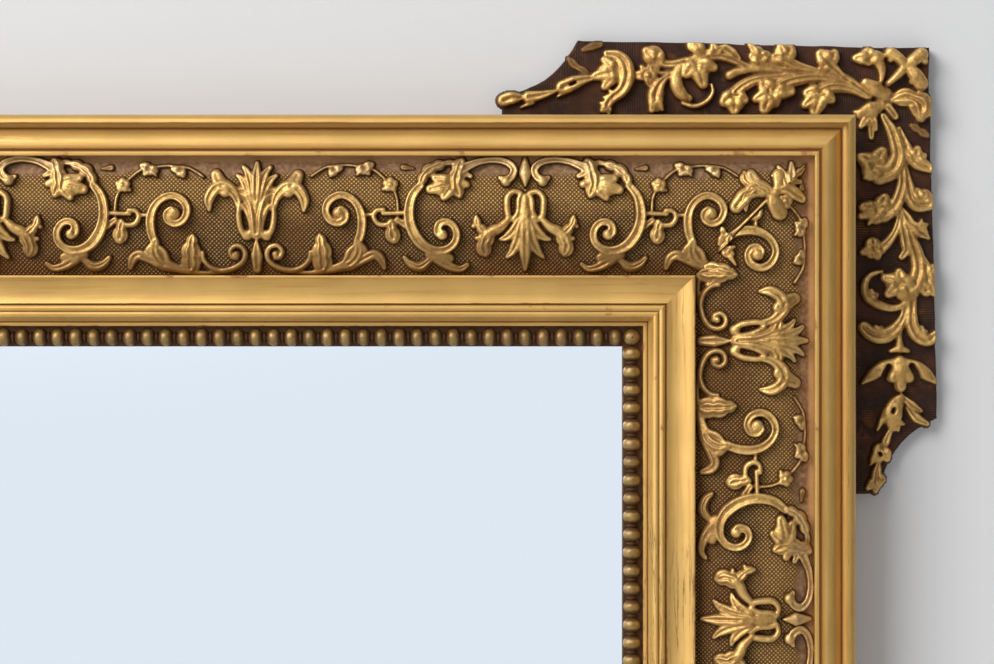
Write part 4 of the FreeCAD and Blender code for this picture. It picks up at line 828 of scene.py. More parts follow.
# Ornament on the frieze
CAST_FIELD = ((-2.0, -FRIEZE_HALF - 1), (HALF_CELL + 2.0, FRIEZE_HALF + 1), 0.4, 1.14)
SPRIG_FIELD = ((-42, -44), (34, 34), 0.5, 1.12)
GROUND = -0.3
CREST_BLUR = 9
CREST_FULL = 0.9
RISE_MOST = 9
RISE_FULL = 7.0
STEEP_FROM = 0.9
STEEP_OVER = 2.0

# Unevenness of handwork: how much, and the distance over which it changes
CAST_SWAY = (0.7, 60)
CAST_SHIFT = (0.5, 75)
CAST_GROWTH = (0.07, 18)
CAST_GRAIN = (0.12, 3.0)
VINE_GRAIN = (0.22, 4.0)


def unevenness(kind, across, up, seed):
    """Smooth random numbers over a plane, as large and as far apart as their kind says."""
    amount, spacing = kind
    return amount * drift_over(across, up, spacing, seed)


def crown_rise(offset):
    """Rise of the frieze's ground at an offset from its middle."""
    inside = np.sqrt(np.maximum(FRIEZE_RADIUS ** 2 - offset ** 2, 1.0))
    return FRIEZE_EDGE + FRIEZE_CROWN - FRIEZE_RADIUS + inside


def add_relief(name, node, copies, height, step, finish, lie=None):
    """The part of a relief that shows, as a piece. Each copy is its places and whether it is mirrored."""
    shown = height > SHOWN_ABOVE
    quads = shown[:-1, :-1] | shown[1:, :-1] | shown[:-1, 1:] | shown[1:, 1:]
    faces = grid_faces(*height.shape)[quads.ravel()]
    used = np.unique(faces)
    copies = [(places[used], mirrored) for places, mirrored in copies]
    points, faces = merged(copies, np.searchsorted(used, faces))
    floored = np.maximum(height, GROUND)
    slope = np.hypot(*np.gradient(floored, step))
    # crest drives a painted highlight on convex crests; rise drives painted shade low on the relief, near its
    # ground; steep drives painted shade on its slopes.
    values = {"crest": np.clip((floored - softened(floored, CREST_BLUR)) / CREST_FULL, -1, 1),
              "rise": np.clip(height, 0, RISE_MOST) / RISE_FULL,
              "steep": np.clip((slope - STEEP_FROM) / STEEP_OVER, 0, 1)}
    if lie is not None:
        values["lie"] = lie
    values = {key: np.tile(field.ravel()[used], len(copies)) for key, field in values.items()}
    add_piece(name, node, points, [faces], finish, values, closed=False)


def cast_on_frieze(name, node, side, cast, half_repeat, step, finish, seed):
    """The ornament of one side, cut off at the mitres and seated on the crowned ground."""
    offsets = np.linspace(-FRIEZE_HALF + 0.2, FRIEZE_HALF - 0.2, int(2 * FRIEZE_HALF / step))
    stations = np.linspace(-1, 1, int((RUN[side] + 2 * FRIEZE_MID) / step))
    along = stations[:, None] * (RUN[side] / 2 + FRIEZE_MID + offsets)[None, :]
    offset = np.broadcast_to(offsets, along.shape)
    kinds = (CAST_SWAY, CAST_SHIFT, CAST_GROWTH, CAST_GRAIN)
    sway, shift, growth, grain = (unevenness(kind, along, offset, seed + number)
                                  for number, kind in enumerate(kinds))
    turn = np.abs(np.mod((along + sway) / half_repeat, 2) - 1)
    height = cast.sampled(turn * HALF_CELL, offset + shift)
    height = np.where(height > 0, height * (1 + growth) + grain, height)
    depth = FRONT + crown_rise(offset) + height
    places = to_world(side, along, ACROSS[side] + FRIEZE_MID + offset, depth).reshape(-1, 3)
    add_relief(name, node, [(places, False)], height, step, finish, offset / FRIEZE_HALF)


def corner_sprigs(finish):
    """Leaves over the frieze's mitres."""
    sprig = drawn((corner_sprig,), *SPRIG_FIELD)
    across, up = np.meshgrid(sprig.across, sprig.up)
    offset = np.maximum(across, up)
    height = np.where(np.abs(offset) < FRIEZE_HALF, sprig.height, LOWEST)
    depth = FRONT + crown_rise(np.clip(offset, -FRIEZE_HALF, FRIEZE_HALF)) + height
    middle_x = HALF_WIDTH + FRIEZE_MID
    middle_z = HALF_HEIGHT + FRIEZE_MID
    copies = [at_corner(corner, middle_x + across, depth, middle_z + up) for corner in CORNERS]
    add_relief("corner_sprigs", "corner_leaves", copies, height, sprig.step, finish)


# Ears, in millimetres from the corner of the moulding's edge
VINE_LOW = (-375, -395)
VINE_HIGH = (84, 82)
VINE_FULLNESS = 1.56
VINE_LIFT = 0.78
EAR_PROJECTION = EAR_HIGH[0] - MOULDING_X
EAR_RISE = EAR_HIGH[2] - MOULDING_Z
EAR_LAP = 37.8
EAR_END_RUN = 44.0
EAR_NIB_LENGTH = 8.0
EAR_NIB_HEIGHT = 15.5
EAR_NIB_WIDTH = 19.0
EAR_END_SAG = 5.6
EAR_RIGHT_INSET = 2.1
EAR_TOP_INSET = 4.0
EAR_SLOPE = 0.0215
EAR_SHARP = 40
EDGE_STEP = 3.0
VINE_MARGIN = 0.6
VINE_CLEARANCE = 0.4
VINE_SEED = 77


def right_edge(up):
    """How far the hand-cut right edge stands out from the moulding: a little more lower down."""
    return EAR_PROJECTION - EAR_RIGHT_INSET + EAR_SLOPE * (EAR_RISE - up)


def top_edge(across):
    """How far the hand-cut top edge stands above the moulding: a little more away from the corner."""
    return EAR_RISE - EAR_TOP_INSET + EAR_SLOPE * (EAR_PROJECTION - across)


def concave_end(high, low):
    """Points of a shallow hollow curve from a high to a low point."""
    way = np.array(low, float) - np.array(high, float)
    left = np.array((-way[1], way[0])) / np.hypot(*way)
    return [tuple(np.array(high) + way * share - left * EAR_END_SAG * 4 * share * (1 - share))
            for share in np.linspace(0, 1, 9)]


def ear_outline():
    """The visible edge of the top right ear, and its edges behind the chassis."""
    left = EAR_LOW[0]
    bottom = EAR_LOW[2]
    lap_z = MOULDING_Z - EAR_LAP
    lap_x = MOULDING_X - EAR_LAP
    top_left = (left + EAR_END_RUN, MOULDING_Z + top_edge(left + EAR_END_RUN - MOULDING_X))
    low_right = (MOULDING_X + right_edge(bottom + EAR_END_RUN - MOULDING_Z), bottom + EAR_END_RUN)
    outline = [(left, lap_z), (left, MOULDING_Z + EAR_NIB_HEIGHT)]
    outline += concave_end((left + EAR_NIB_LENGTH, MOULDING_Z + EAR_NIB_HEIGHT + 1), top_left)
    outline += [(MOULDING_X + right_edge(EAR_RISE), MOULDING_Z + top_edge(EAR_PROJECTION))]
    outline += concave_end(low_right, (MOULDING_X + EAR_NIB_WIDTH + 1, bottom + EAR_NIB_LENGTH))
    outline += [(MOULDING_X + EAR_NIB_WIDTH, bottom), (lap_x, bottom), (lap_x, lap_z)]
    return np.array(outline)


def ear_panel(corner, finish, seed):
    """A thin board with hand-cut edges."""
    outline = ear_outline()
    edge = []
    for start, end in zip(outline, np.roll(outline, -1, axis=0)):
        pieces = max(1, int(np.hypot(*(end - start)) / EDGE_STEP))
        edge.extend(start + (end - start) * step / pieces for step in range(pieces))
    edge = np.array(edge)
    way = np.roll(edge, -1, axis=0) - np.roll(edge, 1, axis=0)
    inward = np.stack((way[:, 1], -way[:, 0]), axis=1) / np.hypot(*way.T)[:, None]
    places = np.arange(len(edge)) * EDGE_STEP
    ragged = (0.35 * drift(places, 21, seed) + 0.25 * drift(places, 6, seed + 1))[:, None] + 0.5
    rings = []
    for inset, depth in ((0.0, EAR_BACK), (0.0, EAR_FRONT - 1.2), (0.35, EAR_FRONT - 0.45), (1.0, EAR_FRONT)):
        ring = edge + inward * (ragged + inset)
        rings.append(at_corner(corner, ring[:, 0], np.full(len(ring), depth), ring[:, 1])[0])
    add_piece("ear_panel_" + corner, "ear_" + corner, np.vstack(rings),
              bar_faces(len(rings), len(edge)), finish, sharp=EAR_SHARP)


def ear_carving(corner, vine, finish):
    """The carved vine of one ear."""
    across, up = np.meshgrid(vine.across * SQUARE + VINE_START[0], vine.up * SQUARE + VINE_START[1])
    off_board = (across > right_edge(up) - VINE_MARGIN) | (up > top_edge(across) - VINE_MARGIN)
    under_moulding = (across < VINE_CLEARANCE) & (up < VINE_CLEARANCE)
    height = np.where(off_board | under_moulding, LOWEST, vine.height)
    height = np.where(height > 0, height + unevenness(VINE_GRAIN, across, up, VINE_SEED), height)
    copy = at_corner(corner, MOULDING_X + across, EAR_FRONT + height, MOULDING_Z + up)
    add_relief("vine_" + corner, "ear_vine_" + corner, [copy], height, vine.step * SQUARE,
               finish)


# Beads
BEAD_AXIS = 5.3
BEAD_WIDE = 5.0
BEAD_DEEP = 4.5
BEAD_LIFT = 0.6
BEAD_SIDES = 16
PEARL_SIDES = 18
CORNER_GAP = 1.0
REELS = ((0.93, 0.48), (0.95, 0.62), (0.975, 0.50), (0.99, 0.64), (1.01, 0.64), (1.025, 0.50), (1.05, 0.62),
         (1.07, 0.48))


def full_turn(count):
    return np.linspace(0, 2 * math.pi, count, endpoint=False)


def bead_profile():
    """Shares of one pitch, and the radius of the turned string at each, as a share of a bead's."""
    bead = [(0.5 + 0.41 * math.sin(turn), max(math.cos(turn) ** 0.8, 0.3))
            for turn in np.linspace(-0.46 * math.pi, 0.46 * math.pi, 13)]
    return np.array((*bead, *REELS)).T


def bead_row(side, pitch, finish, seed):
    """A turned string of beads and small reels along one side."""
    run = RUN[side] + 2 * CORNER_GAP
    count = round(run / pitch)
    places, radii = bead_profile()
    along = ((np.arange(count)[:, None] + places[None, :]) * run / count - run / 2).ravel()
    uneven = 1 + 0.05 * np.random.default_rng(seed).uniform(-1, 1, count)
    size = np.tile(radii, count) * np.repeat(uneven, len(places))
    keep = along < run / 2 - 0.02 * pitch
    along = along[keep][:, None]
    size = size[keep][:, None]
    turns = full_turn(BEAD_SIDES)[None, :]
    out = ACROSS[side] + BEAD_AXIS + BEAD_WIDE * size * np.cos(turns)
    depth = FRONT + SLIP_RISE + BEAD_LIFT + BEAD_DEEP * size * np.sin(turns)
    points = to_world(side, along, out, depth).reshape(-1, 3)
    # crest paints a highlight on the front of each bead; rise darkens the thin reels between them, as patina
    # and painted shade.
    values = {"crest": np.clip((size - 0.72) / 0.25, -1, 1) * (0.55 + 0.45 * np.sin(turns)),
              "rise": np.clip(np.broadcast_to(size, out.shape), 0, 1)}
    add_piece("bead_row_" + side, "bead_string_" + side, points, bar_faces(*out.shape), finish,
              values)


def corner_pearls(finish):
    """A round bead where two strings meet."""
    polar = np.linspace(0.08, math.pi - 0.08, 11)[:, None]
    turns = full_turn(PEARL_SIDES)[None, :]
    x = HALF_WIDTH + BEAD_AXIS + BEAD_WIDE * np.sin(polar) * np.cos(turns)
    z = HALF_HEIGHT + BEAD_AXIS + BEAD_WIDE * np.sin(polar) * np.sin(turns)
    depth = np.broadcast_to(FRONT + SLIP_RISE + BEAD_LIFT + BEAD_DEEP * np.cos(polar), x.shape)
    copies = [at_corner(corner, x, depth, z) for corner in CORNERS]
    points, faces = merged(copies, grid_faces(*x.shape, wrap=True))
    # crest paints a highlight on the front of each pearl.
    crest = np.clip(np.broadcast_to(np.cos(polar), x.shape) * 1.4 - 0.2, -1, 1).ravel()
    values = {"crest": np.tile(crest, len(copies)), "rise": np.ones(len(points))}
    add_piece("corner_pearls", "corner_beads", points, [faces], finish, values)


# Hanging rings
RING_WIRE = 2.0
RING_BAR = 11.0
WIRE_SIDES = 14


def hanging_ring(side, finish):
    """A D-shaped ring of round wire: a bar, two small corners, two legs and a half round."""
    low, high = box_mm("hanger_ring_" + side)
    wide = (high[0] - low[0]) / 2 - RING_WIRE
    corner = wide - RING_BAR
    drop = high[2] - low[2] - 2 * RING_WIRE - wide
    bend = np.linspace(0, math.pi / 2, 7)
    half_round = np.linspace(0, math.pi, 29)
    x = (RING_BAR + corner * np.sin(bend), wide * np.cos(half_round), -RING_BAR - corner * np.cos(bend))
    z = (corner * np.cos(bend) - corner, -drop - wide * np.sin(half_round), corner * np.sin(bend) - corner)
    path = np.stack((np.concatenate(x), np.concatenate(z)), axis=1)
    way = np.roll(path, -1, axis=0) - np.roll(path, 1, axis=0)
    way = way / np.hypot(*way.T)[:, None]
    closed = np.arange(len(path) + 1) % len(path)
    turns = full_turn(WIRE_SIDES)
    across = (low[0] + high[0]) / 2 + path[:, :1] - RING_WIRE * way[:, 1:] * np.cos(turns)
    up = high[2] - RING_WIRE + path[:, 1:] + RING_WIRE * way[:, :1] * np.cos(turns)
    forward = np.broadcast_to((low[1] + high[1]) / 2 + RING_WIRE * np.sin(turns), across.shape)
    points = np.stack((across, forward, up), axis=-1)[closed].reshape(-1, 3)
    add_piece("swing_ring_" + side, "hanger_ring_" + side, points,
              [grid_faces(len(closed), len(turns), wrap=True)], finish, body=side + "_ring")


# Finishes
def reckoning(operation, turned=False):
    """A way to reckon with a wire and a number or another wire."""
    def reckon(self, other):
        return self.graph.maths(operation, *((other, self) if turned else (self, other)))
    return reckon


class Wire:
    """An output of a node, to reckon with as with a number."""
    __add__ = __radd__ = reckoning("ADD")
    __mul__ = __rmul__ = reckoning("MULTIPLY")
    __sub__ = reckoning("SUBTRACT")
    __rsub__ = reckoning("SUBTRACT", True)
    above = reckoning("GREATER_THAN")
    below = reckoning("LESS_THAN")
    or_more = reckoning("MAXIMUM")

    def __init__(self, graph, socket):
        self.graph = graph
        self.socket = socket

    def clamped(self):
        """The same, kept between 0 and 1."""
        self.socket.node.use_clamp = True
        return self

    def ramp(self, low, high, top=1.0, floor=0.0):
        """From the floor at low to the top at high, smoothly."""
        return self.graph.wire("ShaderNodeMapRange", 0, {"interpolation_type": "SMOOTHSTEP"}, Value=self,
                               From_Min=low, From_Max=high, To_Min=floor, To_Max=top)


class Graph:
    """A node tree under construction, with short ways to add and join its nodes."""

    def __init__(self, tree):
        self.tree = tree

    def join(self, source, socket):
        if isinstance(source, Wire):
            self.tree.links.new(source.socket, socket)
        else:
            socket.default_value = source

    def wire(self, kind, output=0, settings=None, **links):
        """An output of a new node, whose named or numbered sockets take wires or values."""
        made = self.tree.nodes.new(kind)
        for key, setting in (settings or {}).items():
            setattr(made, key, setting)
        for key, source in links.items():
            name = int(key[1:]) if key[1:].isdigit() else key.replace("_", " ")
            self.join(source, made.inputs[name])
        return Wire(self, made.outputs[output]) if len(made.outputs) else None

    def maths(self, operation, first, second=0.0):
        return self.wire("ShaderNodeMath", 0, {"operation": operation}, i0=first, i1=second)

    def mix(self, share, first, second):
        return self.wire("ShaderNodeMix", 2, {"data_type": "RGBA"}, i0=share, i6=colour(first),
                         i7=colour(second))

    def ray(self, kind):
        return self.wire("ShaderNodeLightPath", kind)


class Finish(Graph):
    """A material under construction, with its shader and the place on the object."""

    def __init__(self, name, **sockets):
        self.material = bpy.data.materials.new(name)
        self.material.use_nodes = True
        super().__init__(self.material.node_tree)
        self.shader = self.tree.nodes["Principled BSDF"]
        self.place = self.wire("ShaderNodeTexCoord", "Object")
        self.give(**sockets)

    def give(self, **sockets):
        for name, source in sockets.items():
            self.join(source, self.shader.inputs[name.replace("_", " ")])

    def value(self, name):
        return self.wire("ShaderNodeAttribute", "Fac", {"attribute_name": name})

    def part(self, axis):
        return self.wire("ShaderNodeSeparateXYZ", axis, Vector=self.place)

    def noise(self, scale, detail=4.0, roughness=0.55, at=None):
        return self.wire("ShaderNodeTexNoise", "Fac", Vector=at or self.place, Scale=scale, Detail=detail,
                         Roughness=roughness)

    def streaks(self, at, scale, detail, roughness=0.55):
        """Noise that is drawn out along an axis."""
        return self.noise(1.0, detail, roughness, self.wire("ShaderNodeMapping", Vector=at, Scale=scale))

    def bump(self, height, strength, distance, **before):
        return self.wire("ShaderNodeBump", Height=height, Strength=strength, Distance=distance, **before)


def colour(source):
    """A colour with its alpha, unless it is a wire already."""
    return source if isinstance(source, Wire) else (*source[:3], 1.0)


def darker(shade, share):
    return tuple(part * share for part in shade)


# Where brown size was left on the outer moulding: strongest at the first reach, gone at the second
TONED_FROM = (OUTER_IN + 4.0) * MM
TONED_TO = (OUTER_IN + 6.8) * MM


def moulding_gilt(colours, name, gold, tone=1.0, wear=1.0):
    """Burnished leaf with laps, brown size with painted shade in the hollows, grime with painted shade in the
    tight hollows, rubbed edges and fine cracks along the rail.
    """
    finish = Finish(name, Specular_IOR_Level=0.2)
    reach = finish.value("reach")
    rail = finish.wire("ShaderNodeCombineXYZ", X=finish.value("along"), Y=reach)
    hollow = finish.value("hollow")
    cloud = finish.noise(22.0, 5.0)
    grain = finish.noise(900.0, 3.0)
    streak = finish.streaks(rail, (14.0, 420.0, 1.0), 4.0)
    leaf = finish.mix(cloud.ramp(0.35, 0.7), darker(gold, 0.86), gold)
    leaf = finish.mix(streak.ramp(0.50, 0.74, 0.4), leaf, darker(colours.toned_and_shade, 1.15 * tone))
    # Painted shade: the wider hollows turn brown.
    leaf = finish.mix(finish.value("dip").ramp(0.10, 0.38, 0.9), leaf, darker(colours.toned_and_shade, 0.85 * tone))
    band = reach.ramp(TONED_TO, TONED_FROM, 0.7) * reach.above(TONED_FROM - MM)
    leaf = finish.mix(band, leaf, darker(colours.toned_and_shade, tone))
    # Grime and painted shade: the tight hollows turn dark brown.
    dirt_and_shade = hollow + (cloud - 0.5) * 0.25
    leaf = finish.mix(dirt_and_shade.ramp(0.06, 0.40, 0.5), leaf, colours.patina_and_shade)
    rubbed = hollow * -1.0 + (finish.noise(75.0, 6.0) - 0.62) * 2.2
    leaf = finish.mix(rubbed.ramp(0.30, 0.50, 0.75 * wear), leaf, colours.bole)
    line = finish.streaks(rail, (9.0, 230.0, 1.0), 6.0, 0.6)
    where = finish.streaks(rail, (3.2, 16.0, 1.0), 2.0)
    cracked = finish.maths("ABSOLUTE", line - 0.5).ramp(0.014, 0.004) * where.ramp(0.51, 0.64)
    leaf = finish.mix(cracked * (0.7 * wear), leaf, colours.patina_and_shade)
    chips = finish.streaks(rail, (60.0, 190.0, 1.0), 5.0, 0.65)
    chipped = chips.ramp(0.70, 0.735) * where.ramp(0.50, 0.60)
    dull = dirt_and_shade.ramp(0.0, 0.3).or_more(cracked.or_more(chipped))
    finish.give(Base_Color=finish.mix(chipped * (0.8 * wear), leaf, colours.gesso),
                Roughness=(0.30 + grain * 0.14 + dull * 0.25).clamped(),
                Metallic=(0.42 - dull * 0.35).clamped(),
                Normal=finish.bump(streak * 0.5 - cracked, 0.35, 0.0004,
                                   Normal=finish.bump(grain, 0.12, 0.0003)))
    return finish.material


PAINTED_HIGHLIGHT_GOLD = (0.80, 0.54, 0.21)


def carved_gilt(colours, name, low, high, tone=1.0, zoned=False):
    """Leaf on the crests of a carving, with a painted highlight there; painted shade in brown on its slopes
    and in dark brown in its hollows and near its ground.
    """
    gold = darker(colours.gold, tone)
    toned_and_shade = darker(colours.bronze, tone)
    finish = Finish(name, Specular_IOR_Level=0.25)
    crest = finish.value("crest")
    cloud = finish.noise(60.0, 5.0)
    fine = finish.noise(520.0)
    spots = finish.noise(230.0, 5.0, 0.68)
    leaf = finish.mix(cloud.ramp(0.35, 0.68), finish.mix(0.35, toned_and_shade, gold), gold)
    leaf = finish.mix(spots.ramp(0.46, 0.64, 0.75), leaf, toned_and_shade)
    # Painted highlight: paler gold on the convex crests.
    leaf = finish.mix(crest.ramp(0.25, 0.9, 0.4), leaf, darker(PAINTED_HIGHLIGHT_GOLD, tone))
    if zoned:
        lie = finish.value("lie") + (cloud - 0.5) * 0.7
        leaf = finish.mix(lie.ramp(-0.30, -0.85, 0.75), leaf, darker(toned_and_shade, 0.72))
        leaf = finish.mix(lie.ramp(0.45, 0.95, 0.3), leaf, darker(colours.gesso, 0.62))
    # Painted light and shade: lighter high on the relief and on its crests, darker on steep slopes and low
    # near the ground, going from dark brown through brown to leaf.
    up = finish.value("rise").ramp(low, high) + crest * 0.35 + (fine - 0.5) * 0.5
    up = up - finish.value("steep") * 0.5
    middle = finish.mix(up.ramp(-0.25, 0.30), colours.patina_and_shade, darker(toned_and_shade, 0.75))
    shade = finish.mix(up.ramp(0.20, 0.80), middle, leaf)
    rubbed = finish.noise(130.0, 6.0, 0.65).ramp(0.62, 0.70) * crest.ramp(0.0, 0.4)
    finish.give(Base_Color=finish.mix(rubbed * 0.5, shade, colours.bole),
                Metallic=up.ramp(0.05, 0.7, 0.50),
                Roughness=0.60 - up.ramp(0.1, 0.8, 0.22),
                Normal=finish.bump(fine + spots * 1.5, 0.45, 0.0006))
    return finish.material


NET_PITCH = 0.0017
NET_GROUND = (0.080, 0.040, 0.017)
NET_GROUND_KEPT = (0.175, 0.088, 0.032)
SCRAPED_DARK = (0.22, 0.115, 0.058)
SCRAPED_LIGHT = (0.38, 0.225, 0.120)
# Painted light: lifts the scraped strip where the outer moulding's shadow falls.
SCRAPED_EDGE_PAINTED_LIGHT = (0.60, 0.36, 0.18)


def net_gilt(colours):
    """The frieze's ground: a worn gilded net of knobs on a brown ground, plain where it is scraped, with
    painted light on the scraped strip along the outer moulding.
    """
    finish = Finish("worn_net", Specular_IOR_Level=0.12)
    x = finish.part("X")
    z = finish.part("Z")
    wobble = (finish.noise(90.0, 2.0) - 0.5) * 2.4
    turns = 2 * math.pi / NET_PITCH / math.sqrt(2)
    waves = [finish.maths("COSINE", diagonal * turns + wobble) for diagonal in (x + z, x - z)]
    net = (waves[0] + waves[1]) * 0.25 + 0.5
    cloud = finish.noise(26.0, 5.0)
    fine = finish.noise(420.0)
    from_outer = float(OUTER_IN * MM) - finish.value("reach")
    frayed = from_outer + (cloud - 0.5) * 0.016
    whole = frayed.ramp(0.0075, 0.0125)
    kept = frayed.ramp(0.040, 0.022)
    ground = finish.mix(kept, NET_GROUND, NET_GROUND_KEPT)
    leaf = finish.mix(cloud.ramp(0.3, 0.7), darker(colours.toned_and_shade, 0.75), darker(colours.gold, 0.55))
    leaf = finish.mix(kept * 0.8, leaf, darker(colours.gold, 0.88))
    knob = (net + (fine - 0.5) * 0.5).ramp(0.48, 0.86)
    gilded = knob * whole
    scraped = finish.mix(fine.ramp(0.35, 0.7), SCRAPED_DARK, SCRAPED_LIGHT)
    # Painted light: the scraped strip is lighter next to the outer moulding, where its shadow falls.
    scraped = finish.mix(from_outer.ramp(0.004, 0.0015, 0.8), scraped, SCRAPED_EDGE_PAINTED_LIGHT)
    finish.give(Base_Color=finish.mix(1.0 - whole, finish.mix(gilded, ground, leaf), scraped),
                Metallic=gilded * 0.55,
                Roughness=0.62 - knob * 0.2,
                Normal=finish.bump(net * whole, 0.9, 0.0007, Normal=finish.bump(fine, 0.25, 0.0004)))
    return finish.material


COMB_PITCH = 0.0014
BOARD_BROWN = (0.082, 0.030, 0.015)
BOARD_WORN = (0.125, 0.060, 0.028)
BOARD_BOLE = (0.26, 0.085, 0.025)


def combed_ground(colours):
    """The ears' board: dark stain combed across each arm, with patches of bole."""
    finish = Finish("combed_board", Specular_IOR_Level=0.12)
    z = finish.part("Z")
    beside = finish.maths("ABSOLUTE", z).below(MOULDING_Z * MM)
    running = finish.part("X") * (1.0 - beside) + z * beside
    cloud = finish.noise(38.0, 5.0)
    fine = finish.noise(330.0)
    fading = finish.noise(70.0, 3.0).ramp(0.38, 0.62)
    teeth = finish.maths("SINE", running * (2 * math.pi / COMB_PITCH) + cloud * 9.0)
    comb = teeth * fading * 0.5 + 0.5
    worn = comb * 0.45 + fine * 0.6
    shade = finish.mix(cloud.ramp(0.42, 0.68), colours.ear_ground, BOARD_BROWN)
    shade = finish.mix(worn.ramp(0.50, 0.85) * 0.6, shade, BOARD_WORN)
    glow = finish.noise(55.0).ramp(0.60, 0.72, 0.8)
    finish.give(Base_Color=finish.mix(glow * comb, shade, BOARD_BOLE),
                Roughness=0.42 + fine * 0.25,
                Normal=finish.bump(worn, 0.5, 0.0005))
    return finish.material


PINE = ((0.42, 0.27, 0.145), (0.27, 0.155, 0.075))
DUSTY_PINE = ((0.36, 0.235, 0.13), (0.22, 0.13, 0.066))
OAK = ((0.20, 0.12, 0.06), (0.12, 0.066, 0.032))
RING_SCALE = (3.0, 60.0, 60.0)
FIBRE_SCALE = (20.0, 700.0, 700.0)


def bare_wood(name, wood, upright=False):
    """Old planed wood, light and dark, with dust, and grain across or upright."""
    light, dark = wood
    finish = Finish(name)
    way = -1 if upright else 1
    rings, fibre = (finish.streaks(finish.place, scale[::way], 3.0) for scale in (RING_SCALE, FIBRE_SCALE))
    bands = finish.maths("SINE", rings * 58.0) * 0.5 + 0.5
    shade = finish.mix(bands * 0.75, light, dark)
    shade = finish.mix(fibre.ramp(0.45, 0.8, 0.6), shade, darker(dark, 0.6))
    dust = finish.noise(9.0, 6.0).ramp(0.50, 0.75, 0.45)
    finish.give(Base_Color=finish.mix(dust, shade, darker(dark, 0.45)),
                Roughness=(0.62 + fibre * 0.3).clamped(),
                Normal=finish.bump(fibre + bands * 0.4, 0.35, 0.0004))
    return finish.material


IRON_DARK = (0.10, 0.095, 0.09)
IRON_LIGHT = (0.19, 0.18, 0.17)
RUST = (0.16, 0.065, 0.03)


def wrought_iron():
    finish = Finish("dark_iron")
    cloud = finish.noise(160.0, 5.0)
    fine = finish.noise(1400.0, 3.0)
    rust = cloud.ramp(0.56, 0.70)
    finish.give(Base_Color=finish.mix(rust * 0.7, finish.mix(fine, IRON_DARK, IRON_LIGHT), RUST),
                Metallic=0.9 - rust * 0.7,
                Roughness=0.38 + cloud * 0.35,
                Normal=finish.bump(fine, 0.3, 0.0002))
    return finish.material


GLASS = ((0.85, 0.935, 1.0), (0.87, 0.945, 1.0))
SILVER_BACK = ((0.42, 0.40, 0.37), (0.56, 0.55, 0.52))


def mirror_glass():
    """Silvered glass: a clear reflection with a faint cool tint and a trace of haze."""
    finish = Finish("silvered_glass", Metallic=1.0)
    cloud = finish.noise(3.0)
    finish.give(Base_Color=finish.mix(cloud, *GLASS), Roughness=0.02 + cloud * 0.03)
    return finish.material


def silver_back():
    finish = Finish("silvering_back", Metallic=0.4, Roughness=0.6)
    finish.give(Base_Color=finish.mix(finish.noise(30.0, 5.0), *SILVER_BACK))
    return finish.material


def clad(node, finish):
    """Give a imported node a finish."""
    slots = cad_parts[node].data.materials
    slots.clear()
    slots.append(finish)


# Steps, and where the random numbers of each kind of piece start
BEAD_SEED = 500
PALMETTE_SEED = 600
SCROLL_SEED = 700
EAR_SEED = 800


class MIRROR_OT_mouldings(bpy.types.Operator):
    """Sight slips, inner and outer mouldings and the frieze's ground"""
    bl_idname = "gilt_mirror.mouldings"
    bl_label = "Mouldings"

    def execute(self, context):
        colours = context.scene.gilt_colours
        bright = moulding_gilt(colours, "moulding_leaf", colours.gold)
        dull = moulding_gilt(colours, "slip_leaf", colours.patina_and_shade, tone=0.14, wear=0.5)
        net = net_gilt(colours)
        plan = (("slip_", "sight_slip_", "slip_gilt", SLIP_SECTION, 0.0, dull, 0.08),
                ("inner_gilding_", "inner_moulding_", "moulding_gilt", INNER_SECTION, INNER_IN, bright, 0.12),
                ("net_ground_", "frieze_", "frieze_ground", FRIEZE_SECTION, FRIEZE_IN, net, 0.10),
                ("outer_gilding_", "outer_moulding_", "moulding_gilt", OUTER_SECTION, OUTER_IN, bright, 0.22))
        for number, side in enumerate(SIDES):
            for kind, (name, node, slot, section, inside, finish, wobble) in enumerate(plan):
                seed = 100 * number + 10 * kind
                moulding(name + side, node + side, side, section, inside, finish, seed, wobble)
        return {"FINISHED"}


class MIRROR_OT_beads(bpy.types.Operator):
    """Turned bead strings along the sight edge"""
    bl_idname = "gilt_mirror.beads"
    bl_label = "Beads"

    def execute(self, context):
        scene = context.scene
        finish = carved_gilt(scene.gilt_colours, "bead_leaf", low=0.70, high=1.25, tone=0.46)
        for number, side in enumerate(SIDES):
            bead_row(side, scene.carving_sizes.bead_pitch / MM, finish, BEAD_SEED + number)
        corner_pearls(finish)
        return {"FINISHED"}


class MIRROR_OT_frieze_casts(bpy.types.Operator):
    """Palmettes, scrolls and corner sprigs on the frieze"""
    bl_idname = "gilt_mirror.frieze_casts"
    bl_label = "Frieze ornament"

    def execute(self, context):
        scene = context.scene
        sizes = scene.carving_sizes
        step = sizes.frieze_step / MM
        finish = carved_gilt(scene.gilt_colours, "cast_leaf", low=0.20, high=0.80, zoned=True)
        palmettes = drawn((outward_palmette, inward_palmette), *CAST_FIELD)
        scrolls = drawn((small_scroll, lower_scroll, link, tendril, large_scroll, hanging_acanthus),
                        *CAST_FIELD)
        for number, side in enumerate(SIDES):
            repeat = (sizes.half_repeat_down if number % 2 else sizes.half_repeat_across) / MM
            for name, node, cast, seed in (("palmettes_", "frieze_palmettes_", palmettes, PALMETTE_SEED),
                                           ("scrollwork_", "frieze_scrolls_", scrolls, SCROLL_SEED)):
                cast_on_frieze(name + side, node + side, side, cast, repeat, step, finish, seed + 10 * number)
        corner_sprigs(finish)
        return {"FINISHED"}


